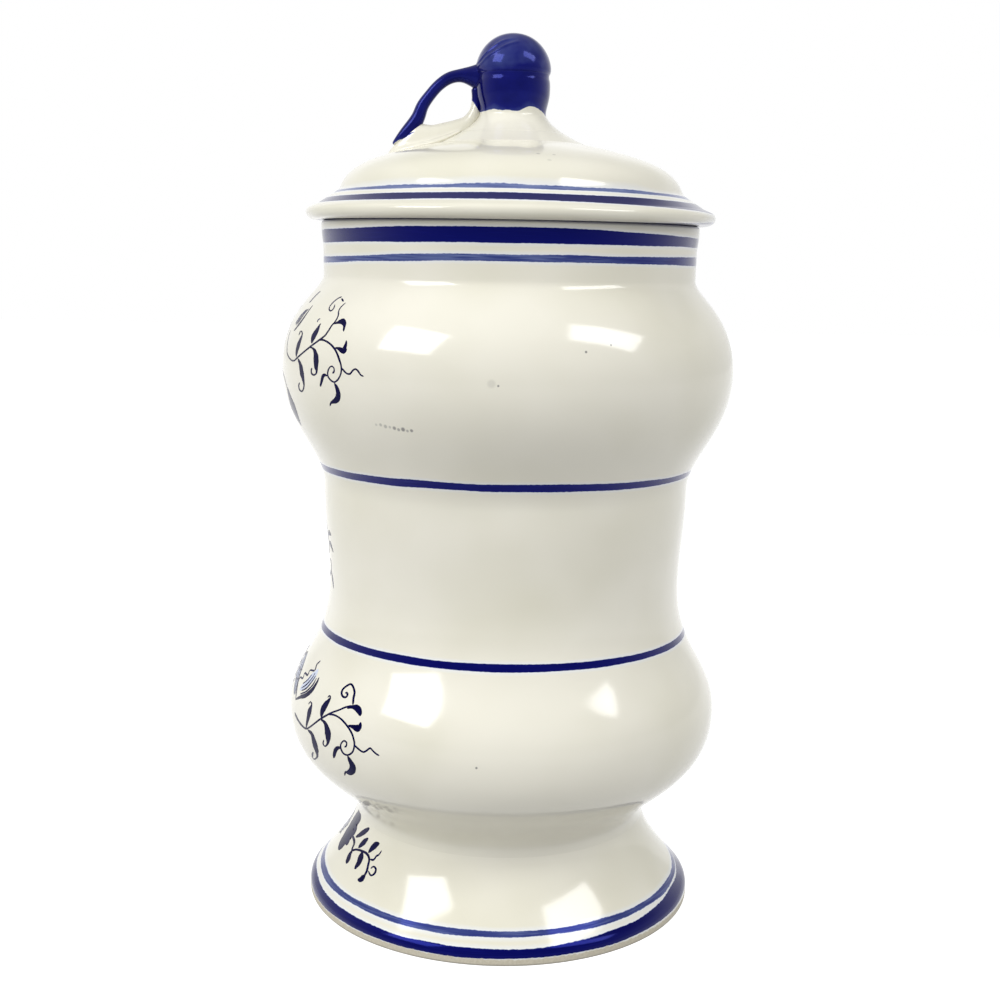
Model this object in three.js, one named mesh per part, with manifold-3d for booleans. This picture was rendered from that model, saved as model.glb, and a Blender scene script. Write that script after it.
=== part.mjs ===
// Lidded cookie jar in glazed earthenware.
// A double-bulb jar stands on a flared foot. A domed lid with a locating ring covers its mouth,
// and carries a fruit knob whose twig arches down to the dome and leaves a finger loop.
// Millimetres, +Z up. The origin is the centre of the resting face, and the twig points to -Y.

import * as THREE from 'three';
import Module from 'manifold-3d';
import { mergeVertices } from 'three/addons/utils/BufferGeometryUtils.js';

const wasm = await Module();
wasm.setup();

// Facets
const ROUND_SIDES = 40;
const KNOB_SIDES = 32;
const OVAL_SIDES = 12;
const TWIG_STEPS = 22;
const SADDLE_STEPS = 16;

// Clearances
const JOINT_GAP = 0.3;
const RING_CLEARANCE = 1.2;
const WELD_TOLERANCE = 1e-4;

// Foot: a hollow flared pedestal that rests on a ring
const FOOT_HEIGHT = 30.3;
const FOOT_BASE_RADIUS = 69.5;
const FOOT_EDGE_HEIGHT = 3;
const FOOT_EDGE_CHAMFER = 0.6;
const FOOT_RING_WIDTH = 6;
const FOOT_WALL = 5.5;
const FOOT_SHOULDER_INSET = 1.8;
const FOOT_SHOULDER_HEIGHT = 6.2;
const FOOT_THROAT_SPREAD = 0.8;
const FOOT_THROAT_DROP = 9.3;
const FOOT_TOP_RADIUS = 52.5;
const FOOT_EDGE_STEPS = 2;
const FOOT_FLARE_STEPS = 8;

// Jar: each swell ends at a radius and takes its share of the body's height. Leave and arrive are
// the shares of that rise over which the wall stays upright at its two ends. The upper bulb is
// wider than the lower one by a step, and the neck's crease and collar keep near the rim's radius.
const BODY_HEIGHT = 209.1;
const BULB_STEP = 2.1;
const RIM_RADIUS = 65.2;
const CREASE_STEP = 0.4;
const COLLAR_STEP = 0.7;
const LOWER_BULB = { radius: 76.6, rise: 0.197 * BODY_HEIGHT, leave: 0.34, arrive: 0.58, steps: 6 };
const WAIST_LOW = { radius: 62.5, rise: 0.2128 * BODY_HEIGHT, leave: 0.36, arrive: 0.56, steps: 6 };
const WAIST_HIGH = { radius: 64.3, rise: 0.1626 * BODY_HEIGHT, leave: 0.4, arrive: 0.4, steps: 2 };
const UPPER_BULB = {
  radius: LOWER_BULB.radius + BULB_STEP,
  rise: 0.1937 * BODY_HEIGHT,
  leave: 0.3,
  arrive: 0.49,
  steps: 6,
};
const NECK_CREASE = {
  radius: RIM_RADIUS - CREASE_STEP,
  rise: 0.1516 * BODY_HEIGHT,
  leave: 0.63,
  arrive: 0.16,
  steps: 6,
};
const COLLAR = {
  radius: RIM_RADIUS + COLLAR_STEP,
  rise: 0.0383 * BODY_HEIGHT,
  leave: 0.4,
  arrive: 0.4,
  steps: 2,
};
const RIM = { radius: RIM_RADIUS, rise: 0.044 * BODY_HEIGHT, leave: 0.4, arrive: 0.4, steps: 2 };
const RIM_CHAMFER = 1.2;
const JAR_WALL = 5;
const FLOOR_THICKNESS = 6;
const FLOOR_FILLET = 7;
const FLOOR_FILLET_STEPS = 3;

// Locating ring under the lid
const RING_DEPTH = 11;
const RING_WALL = 4.5;
const RING_CHAMFER = 1.2;

// Lid: rises are measured from the seat on the jar's rim, insets from the lid's edge
const LID_OVERHANG = 5.2;
const LID_EDGE_CHAMFER = 1.2;
const LID_EDGE_RISE = 2.4;
const LID_EDGE_CROWN = 2.2;
const LID_EDGE_STEPS = 3;
const BRIM_OUTER = { inset: 4, rise: 5.6 };
const BRIM_INNER = { inset: 11.2, rise: 10.4 };
const DOME_FOOT = { inset: 11.5, rise: 11.4 };
const DOME_STEEP = { inset: 14.9, rise: 18.9 };
const DOME_FLAT = { inset: 25.4, rise: 22.6 };
const DOME_WALL = 5;
const DOME_STEPS = 7;

// Flare from the dome up to the knob: spreads are measured from the knob's neck
const NECK_RADIUS = 11.4;
const NECK_RISE = 36.2;
const DOME_SHOULDER = { spread: 15.7, rise: 25.9 };
const FLARE_START = { spread: 10.1, rise: 27.4 };
const FLARE_END = { spread: 1.6, rise: 33.4 };
const FLARE_STEPS = 4;
const SOCLE_SHARE = 0.47;

// Knob: spreads and rises are measured from its neck
const BUD_BELLY = { spread: 1.4, rise: 10, leave: 0.2, arrive: 0.5, steps: 3 };
const BUD_LIP = { spread: 1.2, rise: 11.4 };
const BUD_GROOVE = { spread: 0.5, rise: 12.4 };
const BUD_CAP = { spread: 1.4, rise: 13.6 };
const BUD_WIDEST = { spread: 1.6, rise: 15.2 };
const BUD_CROWN_SIDE = { spread: 1.2, rise: 20.7 };
const BUD_CROWN_TOP = { spread: -3.9, rise: 27.8 };
const BUD_HEIGHT = 28.2;
const BUD_CROWN_STEPS = 7;

// Twig: each station is in shares of the reach of its tip from the knob's axis, with half the
// thickness and half the width. Heights are a rise from the knob's neck on the arch, and a lift
// over the dome's surface where it comes down.
const TWIG_REACH = 41;
const TWIG = [
  { reach: 0.2195, rise: 0.3024, thick: 0.0780, wide: 0.0829 },
  { reach: 0.3366, rise: 0.3049, thick: 0.0756, wide: 0.0805 },
  { reach: 0.4390, rise: 0.3220, thick: 0.0512, wide: 0.0634 },
  { reach: 0.5341, rise: 0.3000, thick: 0.0512, wide: 0.0585 },
  { reach: 0.6220, rise: 0.2390, thick: 0.0488, wide: 0.0585 },
  { reach: 0.6927, rise: 0.1585, thick: 0.0463, wide: 0.0585 },
  { reach: 0.7488, rise: 0.0780, thick: 0.0463, wide: 0.0610 },
  { reach: 0.7854, lift: 0.2780, thick: 0.0561, wide: 0.0659 },
  { reach: 0.8244, lift: 0.2146, thick: 0.0634, wide: 0.0659 },
  { reach: 0.8829, lift: 0.1610, thick: 0.0488, wide: 0.0585 },
  { reach: 0.9415, lift: 0.1146, thick: 0.0341, wide: 0.0463 },
  { reach: 1.0000, lift: 0.0756, thick: 0.0146, wide: 0.0244 },
];

// Saddle: the gusset under the twig, which follows the dome from the twig's tip and climbs the knob
const SADDLE = [
  { reach: 1.0341, lift: 0.0171, thick: 0.0195, wide: 0.0293 },
  { reach: 0.9390, lift: 0.0220, thick: 0.0780, wide: 0.0780 },
  { reach: 0.8049, lift: 0.0171, thick: 0.1220, wide: 0.1122 },
  { reach: 0.6707, lift: 0.0195, thick: 0.1488, wide: 0.1268 },
  { reach: 0.5488, lift: 0.0146, thick: 0.1415, wide: 0.1268 },
  { reach: 0.4463, lift: 0.0122, thick: 0.1171, wide: 0.1171 },
  { reach: 0.3512, lift: 0.0195, thick: 0.0829, wide: 0.1024 },
  { reach: 0.3024, rise: 0.0341, thick: 0.0561, wide: 0.0805 },
  { reach: 0.2902, rise: 0.1463, thick: 0.0463, wide: 0.0585 },
];

// Heights of the joints
const RIM_RISES = [LOWER_BULB, WAIST_LOW, WAIST_HIGH, UPPER_BULB, NECK_CREASE, COLLAR, RIM];
const SEAT_Z = RIM_RISES.reduce((height, swell) => height + swell.rise, FOOT_HEIGHT) + RIM_CHAMFER;
const NECK_Z = SEAT_Z + NECK_RISE;
const MOUTH_RADIUS = RIM_RADIUS - JAR_WALL;
const RING_RADIUS = MOUTH_RADIUS - RING_CLEARANCE;
const RING_BORE = RING_RADIUS - RING_WALL;
const LID_RADIUS = RIM_RADIUS + LID_OVERHANG;

// Glazes
const CREAM_GLAZE = { color: 0xf1efe6, roughness: 0.12, metalness: 0 };
const COBALT_GLAZE = { color: 0x0a0b6e, roughness: 0.1, metalness: 0 };

// Outline tools

function at(radius, height) {
  return new THREE.Vector2(radius, height);
}

function onLid({ inset, rise }) {
  return at(LID_RADIUS - inset, SEAT_Z + rise);
}

function onFlare({ spread, rise }) {
  return at(NECK_RADIUS + spread, SEAT_Z + rise);
}

function onBud({ spread, rise }) {
  return at(NECK_RADIUS + spread, NECK_Z + rise);
}

// The last point of an outline, continued by a curve through two handles
function bend(outline, handleA, handleB, end, steps) {
  const curve = new THREE.CubicBezierCurve(outline.at(-1), handleA, handleB, end);
  outline.push(...curve.getPoints(steps).slice(1));
}

function swell(outline, { radius, rise, leave, arrive, steps }) {
  const start = outline.at(-1);
  const end = at(radius, start.y + rise);
  const handleA = at(start.x, start.y + rise * leave);
  const handleB = at(end.x, end.y - rise * arrive);
  bend(outline, handleA, handleB, end, steps);
}

// The outline moved along its own normal: outwards for a positive distance, inwards for a negative one
function offset(outline, distance) {
  return outline.map((point, index) => {
    const before = outline[Math.max(index - 1, 0)];
    const after = outline[Math.min(index + 1, outline.length - 1)];
    const along = after.clone().sub(before).normalize();
    return at(point.x + along.y * distance, point.y - along.x * distance);
  });
}

// Solid tools

function withoutSlivers(geometry) {
  const { array } = geometry.index;
  const kept = [];
  for (let corner = 0; corner < array.length; corner += 3) {
    const [a, b, c] = array.slice(corner, corner + 3);
    if (a !== b && b !== c && c !== a) {
      kept.push(a, b, c);
    }
  }
  geometry.setIndex(kept);
  return geometry;
}

function weld(geometry) {
  geometry.deleteAttribute('normal');
  geometry.deleteAttribute('uv');
  return withoutSlivers(mergeVertices(geometry, WELD_TOLERANCE));
}

function turned(outline, sides) {
  const geometry = new THREE.LatheGeometry(outline, sides);
  geometry.rotateX(Math.PI / 2);
  return weld(geometry);
}

// A closed body through oval sections in the plane of the twig, grown all round by a clearance
function lofted(stations, steps, growth) {
  const along = (values) => new THREE.SplineCurve(values.map((value, index) => at(index, value)));
  const reach = along(stations.map((station) => station.reach * TWIG_REACH));
  const height = along(stations.map(stationHeight));
  const thick = along(stations.map((station) => station.thick * TWIG_REACH + growth));
  const wide = along(stations.map((station) => station.wide * TWIG_REACH + growth));
  const centre = (share) => new THREE.Vector3(0, -reach.getPoint(share).y, height.getPoint(share).y);
  const positions = [];
  const sideways = new THREE.Vector3(1, 0, 0);
  for (let step = 0; step <= steps; step += 1) {
    const share = step / steps;
    const middle = centre(share);
    const ahead = centre(Math.min(share + 0.5 / steps, 1));
    const behind = centre(Math.max(share - 0.5 / steps, 0));
    const across = new THREE.Vector3().crossVectors(sideways, ahead.sub(behind).normalize());
    for (let side = 0; side < OVAL_SIDES; side += 1) {
      const angle = (2 * Math.PI * side) / OVAL_SIDES;
      const corner = middle.clone();
      corner.addScaledVector(sideways, Math.cos(angle) * wide.getPoint(share).y);
      corner.addScaledVector(across, Math.sin(angle) * thick.getPoint(share).y);
      positions.push(...corner.toArray());
    }
  }
  const first = positions.length / 3;
  positions.push(...centre(0).toArray(), ...centre(1).toArray());
  const index = [];
  const lastRing = steps * OVAL_SIDES;
  for (let side = 0; side < OVAL_SIDES; side += 1) {
    const next = (side + 1) % OVAL_SIDES;
    for (let ring = 0; ring < lastRing; ring += OVAL_SIDES) {
      const ahead = ring + OVAL_SIDES;
      index.push(ring + side, ahead + next, ring + next, ring + side, ahead + side, ahead + next);
    }
    index.push(first, side, next, first + 1, lastRing + next, lastRing + side);
  }
  const geometry = new THREE.BufferGeometry();
  geometry.setAttribute('position', new THREE.Float32BufferAttribute(positions, 3));
  geometry.setIndex(index);
  return geometry;
}

function toSolid(geometry) {
  const mesh = new wasm.Mesh({
    numProp: 3,
    vertProperties: new Float32Array(geometry.attributes.position.array),
    triVerts: new Uint32Array(geometry.index.array),
  });
  return new wasm.Manifold(mesh);
}

function toGeometry(solid) {
  const mesh = solid.getMesh();
  const geometry = new THREE.BufferGeometry();
  geometry.setAttribute('position', new THREE.Float32BufferAttribute(mesh.vertProperties, 3));
  geometry.setIndex(Array.from(mesh.triVerts));
  return geometry;
}

function piece(name, geometry, glaze) {
  geometry.computeVertexNormals();
  const mesh = new THREE.Mesh(geometry, new THREE.MeshStandardMaterial(glaze));
  mesh.name = name;
  return mesh;
}

// Foot

function pedestalFoot() {
  const shoulder = at(FOOT_BASE_RADIUS - FOOT_SHOULDER_INSET, FOOT_SHOULDER_HEIGHT);
  const throat = at(FOOT_TOP_RADIUS + FOOT_THROAT_SPREAD, FOOT_HEIGHT - FOOT_THROAT_DROP);
  const slope = new THREE.QuadraticBezierCurve(shoulder, throat, at(FOOT_TOP_RADIUS, FOOT_HEIGHT));
  const flare = slope.getPoints(FOOT_FLARE_STEPS);
  const edge = new THREE.QuadraticBezierCurve(
    at(FOOT_BASE_RADIUS, FOOT_EDGE_HEIGHT),
    at(FOOT_BASE_RADIUS, (FOOT_EDGE_HEIGHT + FOOT_SHOULDER_HEIGHT) / 2),
    shoulder,
  );
  const ringRadius = FOOT_BASE_RADIUS - FOOT_RING_WIDTH;
  const hollow = offset(flare, -FOOT_WALL).filter((point) => point.x < ringRadius);
  hollow.at(-1).y = FOOT_HEIGHT;
  const outline = [
    at(ringRadius, 0),
    at(FOOT_BASE_RADIUS - FOOT_EDGE_CHAMFER, 0),
    at(FOOT_BASE_RADIUS, FOOT_EDGE_CHAMFER),
    ...edge.getPoints(FOOT_EDGE_STEPS),
    ...flare.slice(1),
    ...hollow.reverse(),
    at(ringRadius, 0),
  ];
  return piece('pedestal_foot', turned(outline, ROUND_SIDES), CREAM_GLAZE);
}

// Jar

function jarBody() {
  const skin = [at(FOOT_TOP_RADIUS, FOOT_HEIGHT)];
  for (const stretch of RIM_RISES) {
    swell(skin, stretch);
  }
  const floorZ = FOOT_HEIGHT + FLOOR_THICKNESS;
  const inside = offset(skin, -JAR_WALL).filter((point) => point.y > floorZ + FLOOR_FILLET);
  inside.at(-1).set(MOUTH_RADIUS, SEAT_Z - RIM_CHAMFER);
  inside.reverse();
  const wallFoot = inside.at(-1);
  const corner = at(wallFoot.x - FLOOR_FILLET / 2, floorZ);
  bend(inside, corner, corner, at(wallFoot.x - 2 * FLOOR_FILLET, floorZ), FLOOR_FILLET_STEPS);
  const outline = [
    at(0, FOOT_HEIGHT),
    ...skin,
    at(RIM_RADIUS - RIM_CHAMFER, SEAT_Z),
    at(MOUTH_RADIUS + RIM_CHAMFER, SEAT_Z),
    ...inside,
    at(0, floorZ),
  ];
  return piece('jar_body', turned(outline, ROUND_SIDES), CREAM_GLAZE);
}

// Lid

const brim = [
  at(LID_RADIUS - LID_EDGE_CHAMFER, SEAT_Z),
  at(LID_RADIUS, SEAT_Z + LID_EDGE_CHAMFER),
  at(LID_RADIUS, SEAT_Z + LID_EDGE_RISE),
];
const edgeCrown = at(LID_RADIUS, SEAT_Z + LID_EDGE_RISE + LID_EDGE_CROWN);
bend(brim, edgeCrown, edgeCrown, onLid(BRIM_OUTER), LID_EDGE_STEPS);
brim.push(onLid(BRIM_INNER));

const dome = [onLid(DOME_FOOT)];
bend(dome, onLid(DOME_STEEP), onLid(DOME_FLAT), onFlare(DOME_SHOULDER), DOME_STEPS);

const flareCurve = new THREE.CubicBezierCurve(
  dome.at(-1),
  onFlare(FLARE_START),
  onFlare(FLARE_END),
  at(NECK_RADIUS, NECK_Z),
);

function flareBetween(start, end) {
  const points = [];
  for (let step = 0; step <= FLARE_STEPS; step += 1) {
    points.push(flareCurve.getPoint(start + ((end - start) * step) / FLARE_STEPS));
  }
  return points;
}

const flareFoot = flareBetween(0, SOCLE_SHARE);
const flareNeck = flareBetween(SOCLE_SHARE, 1);
const socleZ = flareNeck[0].y;

// The height of the dome and flare at a distance from the axis
function skinHeight(radius) {
  const skin = [...dome, ...flareFoot.slice(1), ...flareNeck.slice(1)];
  const inner = skin.findIndex((point) => point.x <= radius);
  const [low, high] = [skin[inner - 1], skin[inner]];
  return low.y + ((high.y - low.y) * (low.x - radius)) / (low.x - high.x);
}

function stationHeight({ reach, rise, lift }) {
  if (lift === undefined) {
    return NECK_Z + rise * TWIG_REACH;
  }
  return skinHeight(reach * TWIG_REACH) + lift * TWIG_REACH;
}

function lidDome() {
  const underside = offset(dome, -DOME_WALL).filter((point) => point.x < RING_BORE).reverse();
  const outline = [
    at(0, underside[0].y),
    ...underside,
    at(RING_BORE, underside.at(-1).y),
    at(RING_BORE, SEAT_Z),
    ...brim,
    ...dome,
    ...flareFoot.slice(1),
    at(0, socleZ),
  ];
  return piece('lid_dome', turned(outline, ROUND_SIDES), CREAM_GLAZE);
}

function lidFlange() {
  const bottomZ = SEAT_Z - RING_DEPTH;
  const outline = [
    at(RING_BORE, SEAT_Z),
    at(RING_BORE, bottomZ + RING_CHAMFER),
    at(RING_BORE + RING_CHAMFER, bottomZ),
    at(RING_RADIUS - RING_CHAMFER, bottomZ),
    at(RING_RADIUS, bottomZ + RING_CHAMFER),
    at(RING_RADIUS, SEAT_Z),
    at(RING_BORE, SEAT_Z),
  ];
  return piece('lid_flange', turned(outline, ROUND_SIDES), CREAM_GLAZE);
}

function knobSocle() {
  const outline = [at(0, socleZ), ...flareNeck, at(0, NECK_Z)];
  return piece('knob_socle', turned(outline, ROUND_SIDES), CREAM_GLAZE);
}

// Knob and twig

const bud = [at(NECK_RADIUS, NECK_Z)];
swell(bud, { ...BUD_BELLY, radius: NECK_RADIUS + BUD_BELLY.spread });
bud.push(onBud(BUD_LIP), onBud(BUD_GROOVE), onBud(BUD_CAP), onBud(BUD_WIDEST));
const budTop = at(0, NECK_Z + BUD_HEIGHT);
bend(bud, onBud(BUD_CROWN_SIDE), onBud(BUD_CROWN_TOP), budTop, BUD_CROWN_STEPS);

function knobBud() {
  return piece('knob_bud', turned([at(0, NECK_Z), ...bud], KNOB_SIDES), COBALT_GLAZE);
}

// The lid and knob with the joint gap around them, which twig and saddle are cut back to
function lidClearance() {
  const skin = [...dome, ...flareFoot.slice(1), ...flareNeck.slice(1), ...bud.slice(1)];
  const grown = offset(skin, JOINT_GAP);
  const top = at(0, budTop.y + JOINT_GAP);
  return toSolid(turned([at(0, grown[0].y), ...grown.slice(0, -1), top], ROUND_SIDES));
}

function twigPieces() {
  const clearance = lidClearance();
  const twig = toSolid(lofted(TWIG, TWIG_STEPS, 0)).subtract(clearance);
  const twigClearance = toSolid(lofted(TWIG, TWIG_STEPS, JOINT_GAP));
  const saddle = toSolid(lofted(SADDLE, SADDLE_STEPS, 0)).subtract(clearance).subtract(twigClearance);
  return [
    piece('twig_stem', toGeometry(twig), COBALT_GLAZE),
    piece('twig_saddle', toGeometry(saddle), CREAM_GLAZE),
  ];
}

const jar = new THREE.Group();
jar.add(pedestalFoot(), jarBody());

const lid = new THREE.Group();
lid.add(lidDome(), lidFlange(), knobSocle(), knobBud(), ...twigPieces());

const cookieJar = new THREE.Group();
cookieJar.add(jar, lid);

export default cookieJar;
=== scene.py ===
import bisect
import math
import random

import bpy
from bpy.props import FloatProperty, FloatVectorProperty, IntProperty, PointerProperty
from mathutils import Matrix, Quaternion, Vector, kdtree, noise


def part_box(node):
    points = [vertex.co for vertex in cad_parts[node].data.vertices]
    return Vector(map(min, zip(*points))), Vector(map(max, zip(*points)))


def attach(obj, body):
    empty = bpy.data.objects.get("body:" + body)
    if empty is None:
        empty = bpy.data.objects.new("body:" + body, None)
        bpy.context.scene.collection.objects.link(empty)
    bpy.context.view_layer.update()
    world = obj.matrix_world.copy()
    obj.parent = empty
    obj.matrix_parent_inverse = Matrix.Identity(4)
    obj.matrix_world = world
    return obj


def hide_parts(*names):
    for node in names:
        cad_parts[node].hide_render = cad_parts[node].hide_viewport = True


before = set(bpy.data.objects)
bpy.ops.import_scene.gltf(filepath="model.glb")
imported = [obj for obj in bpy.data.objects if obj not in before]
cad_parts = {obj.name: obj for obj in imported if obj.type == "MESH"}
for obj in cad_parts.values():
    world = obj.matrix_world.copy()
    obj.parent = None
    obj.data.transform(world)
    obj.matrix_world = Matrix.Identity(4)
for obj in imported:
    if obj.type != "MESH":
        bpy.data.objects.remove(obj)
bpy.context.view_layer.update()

bl_info = {
    "name": "Footed cookie jar",
    "version": (1, 0, 0),
    "blender": (4, 5, 0),
    "location": "View3D > Sidebar > Cookie jar",
    "description": "Builds a footed, lidded cookie jar in white-glazed earthenware with cobalt brushwork",
    "category": "Object",
}

MM = 0.001

# What blue-black glaze keeps of a reflection, on the knob and under a brush line: little of the red and green
MIRRORED = (0.12, 0.15, 0.72, 1.0)
BRUSHED = (0.05, 0.07, 0.6, 1.0)


def linear(hex_value):
    """An sRGB hex colour as linear red, green, blue and alpha."""
    channels = [int(hex_value[i : i + 2], 16) / 255 for i in (1, 3, 5)]
    return (*[c / 12.92 if c <= 0.04045 else ((c + 0.055) / 1.055) ** 2.4 for c in channels], 1.0)


def size(name, description, millimetres):
    return FloatProperty(
        name=name, description=description, default=millimetres * MM, min=0.0, unit="LENGTH", precision=4
    )


def colour(name, description, hex_value):
    return FloatVectorProperty(
        name=name, description=description, default=linear(hex_value), subtype="COLOR", size=4, min=0.0, max=1.0
    )


# Sizes and colours that a user would change


class JarSizes(bpy.types.PropertyGroup):
    foot_radius: size("Foot radius", "Radius of the foot's resting edge", 69.5)
    foot_height: size("Foot height", "From the table to the joint with the jar", 30.3)
    foot_top: size("Foot top radius", "Radius of the joint between foot and jar", 52.5)
    foot_wall: size("Foot wall", "Thickness of the hollow foot", 5.5)
    body_height: size("Body height", "From the foot's joint to the shoulder of the rim", 209.1)
    lower_bulb: size("Lower bulb radius", "Greatest radius of the lower bulb", 76.57)
    waist: size("Waist radius", "Least radius of the waist", 62.5)
    upper_bulb: size("Upper bulb radius", "Greatest radius of the upper bulb", 78.66)
    rim: size("Rim radius", "Outer radius of the rim", 65.2)
    wall: size("Wall", "Thickness of the jar's wall", 5.0)
    floor: size("Floor", "Thickness of the jar's floor", 6.0)
    sides: IntProperty(name="Sides", description="Faces round the thrown pieces", default=224, min=48, max=320)


class LidSizes(bpy.types.PropertyGroup):
    overhang: size("Overhang", "How far the lid's edge stands out past the rim", 5.2)
    wall: size("Dome wall", "Thickness of the dome", 5.0)
    ring_depth: size("Ring depth", "Depth of the locating ring below the seat", 11.0)
    ring_wall: size("Ring wall", "Thickness of the locating ring", 4.5)
    clearance: size("Ring clearance", "Space between the locating ring and the mouth", 1.2)
    neck_radius: size("Neck radius", "Radius of the neck under the knob", 11.4)
    neck_rise: size("Neck rise", "Height of the knob's neck above the seat", 36.2)


class KnobSizes(bpy.types.PropertyGroup):
    height: size("Knob height", "Height of the fruit above its neck", 27.4)
    ridge: size("Sepal ridge", "Height of the raised lines over the fruit", 0.4)
    twig_reach: size("Twig reach", "Distance of the twig's tip from the knob's axis", 41.0)


class Glazes(bpy.types.PropertyGroup):
    cream: colour("Cream glaze", "Tin-white glaze over buff earthenware", "#E7E4D6")
    pooled: colour("Pooled glaze", "The same glaze where it lies thick", "#DCD9C7")
    biscuit: colour("Bare edge", "Gritty clay where the glaze is wiped off the foot", "#D8D2C2")
    cobalt: colour("Cobalt", "Full-strength cobalt under the glaze", "#02024A")
    brushed: colour("Full brush", "Cobalt where a loaded brush left it thickest", "#020132")
    wash: colour("Cobalt wash", "Thinned cobalt", "#7482AA")


class Studio(bpy.types.PropertyGroup):
    left: FloatProperty(
        name="Left softbox", description="Power of the left softbox", default=38.0, min=0.0, unit="POWER"
    )
    right: FloatProperty(
        name="Right softbox", description="Power of the right softbox", default=28.0, min=0.0, unit="POWER"
    )
    room: FloatProperty(name="Room light", description="Mean strength of the light of the room", default=0.47, min=0.0)


# Outlines, in metres, as (radius, height) points


def bend(outline, handle_a, handle_b, end, steps):
    """Carries an outline on from its last point by a curve through two handles."""
    a, b, c, d = (Vector(p) for p in (outline[-1], handle_a, handle_b, end))
    for step in range(1, steps + 1):
        t = step / steps
        u = 1 - t
        outline.append(tuple(a * u**3 + b * 3 * u * u * t + c * 3 * u * t * t + d * t**3))


def swell(outline, radius, rise, leave, arrive, steps=28):
    """A swelling of the wall that is upright at both ends."""
    r, z = outline[-1]
    bend(outline, (r, z + rise * leave), (radius, z + rise * (1 - arrive)), (radius, z + rise), steps)


def offset(outline, distance):
    """The outline moved along its own normal, inwards for a negative distance."""
    moved = []
    for i, point in enumerate(outline):
        before, after = Vector(outline[max(i - 1, 0)]), Vector(outline[min(i + 1, len(outline) - 1)])
        along = (after - before).normalized()
        moved.append((point[0] + along.y * distance, point[1] - along.x * distance))
    return moved


def seat_height():
    """Height of the rim, on which the lid rests."""
    s = bpy.context.scene.jar_sizes
    return s.foot_height + s.body_height + 1.2 * MM


def neck_height():
    """Height of the neck under the knob."""
    return seat_height() + bpy.context.scene.lid_sizes.neck_rise


def foot_skin():
    """The foot's outside, from its resting edge up to the joint."""
    s = bpy.context.scene.jar_sizes
    r = s.foot_radius
    skin = [(r - 0.5 * MM, 0.0)]
    bend(skin, (r - 0.15 * MM, 0.0), (r, 0.2 * MM), (r, 0.6 * MM), 5)
    skin.append((r, 3.0 * MM))
    bend(skin, (r, 4.1 * MM), (r - 0.6 * MM, 5.1 * MM), (r - 1.8 * MM, 6.2 * MM), 8)
    throat = Vector((s.foot_top + 0.8 * MM, s.foot_height - 9.3 * MM))
    top = Vector((s.foot_top, s.foot_height))
    start = Vector(skin[-1])
    bend(skin, start.lerp(throat, 2 / 3), top.lerp(throat, 2 / 3), top, 30)
    return skin


def body_skin():
    """The jar's outside, from the joint with the foot up to the rim."""
    s = bpy.context.scene.jar_sizes
    h = s.body_height
    skin = [(s.foot_top, s.foot_height)]
    swell(skin, s.lower_bulb, 0.19 * h, 0.34, 0.61)
    swell(skin, s.waist, 0.2198 * h, 0.37, 0.55)
    swell(skin, s.waist + 1.8 * MM, 0.1626 * h, 0.4, 0.4, 12)
    swell(skin, s.upper_bulb, 0.1937 * h, 0.3, 0.49)
    swell(skin, s.rim - 0.8 * MM, 0.1516 * h, 0.63, 0.16)
    swell(skin, s.rim - 0.7 * MM, 0.0383 * h, 0.4, 0.4, 8)
    swell(skin, s.rim, 0.044 * h, 0.4, 0.4, 8)
    return skin


def dome_skin():
    """The lid's outside, from its resting face over the edge and dome to the knob's neck."""
    z = seat_height()
    edge = bpy.context.scene.jar_sizes.rim + bpy.context.scene.lid_sizes.overhang
    neck = bpy.context.scene.lid_sizes.neck_radius

    def brim(out, up):
        return edge + out * MM, z + up * MM

    def flare(out, up):
        return neck + out * MM, z + up * MM

    skin = [brim(-4.2, 0)]
    bend(skin, brim(-2.0, 0), brim(0, 0.8), brim(0, 2.6), 8)
    bend(skin, brim(0, 4.4), brim(-1.8, 4.6), brim(-4.0, 5.6), 10)
    skin.append(brim(-10.4, 9.8))
    bend(skin, brim(-11.3, 10.4), brim(-11.3, 10.7), brim(-11.9, 12.0), 6)
    bend(skin, brim(-15.1, 19.6), brim(-26.4, 22.8), flare(14.1, 26.5), 34)
    bend(skin, flare(11.0, 28.0), flare(1.9, 32.0), (neck + 0.15 * MM, neck_height()), 30)
    return skin


def bud_skin():
    """The fruit's outside: a drum, a groove with a lip under a fuller cap, and the crown."""
    neck = bpy.context.scene.lid_sizes.neck_radius
    z = neck_height()
    top = z + bpy.context.scene.knob_sizes.height

    def at(out, up):
        return neck + out * MM, z + up * MM

    skin = [at(0.15, 0)]
    bend(skin, at(-0.45, 1.6), at(1.15, 4.4), at(1.25, 8.2), 34)
    bend(skin, at(1.3, 10.1), at(1.25, 11.3), at(1.05, 11.9), 14)
    bend(skin, at(0.85, 12.5), at(0.8, 13.3), at(0.95, 13.7), 8)
    bend(skin, at(1.2, 14.0), at(1.45, 14.6), at(1.45, 15.7), 10)
    bend(skin, at(1.15, 20.8), (neck - 3.3 * MM, top + 0.05 * MM), (0.0, top), 64)
    return skin


def height_on(skin, radius):
    """The height of a lid outline at a distance from the axis."""
    for (r0, z0), (r1, z1) in zip(skin[20:], skin[21:]):
        if r1 <= radius <= r0:
            return z0 + (z1 - z0) * (r0 - radius) / max(r0 - r1, 1e-9)
    return skin[-1][1]


def point_on(skin, height):
    """An outline's radius at a height, and its direction there."""
    i = min(max(bisect.bisect_left(skin, height, key=lambda point: point[1]), 1), len(skin) - 1)
    (r0, z0), (r1, z1) = skin[i - 1], skin[i]
    share = (height - z0) / max(z1 - z0, 1e-9)
    return r0 + (r1 - r0) * share, Vector((r1 - r0, z1 - z0)).normalized()


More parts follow.
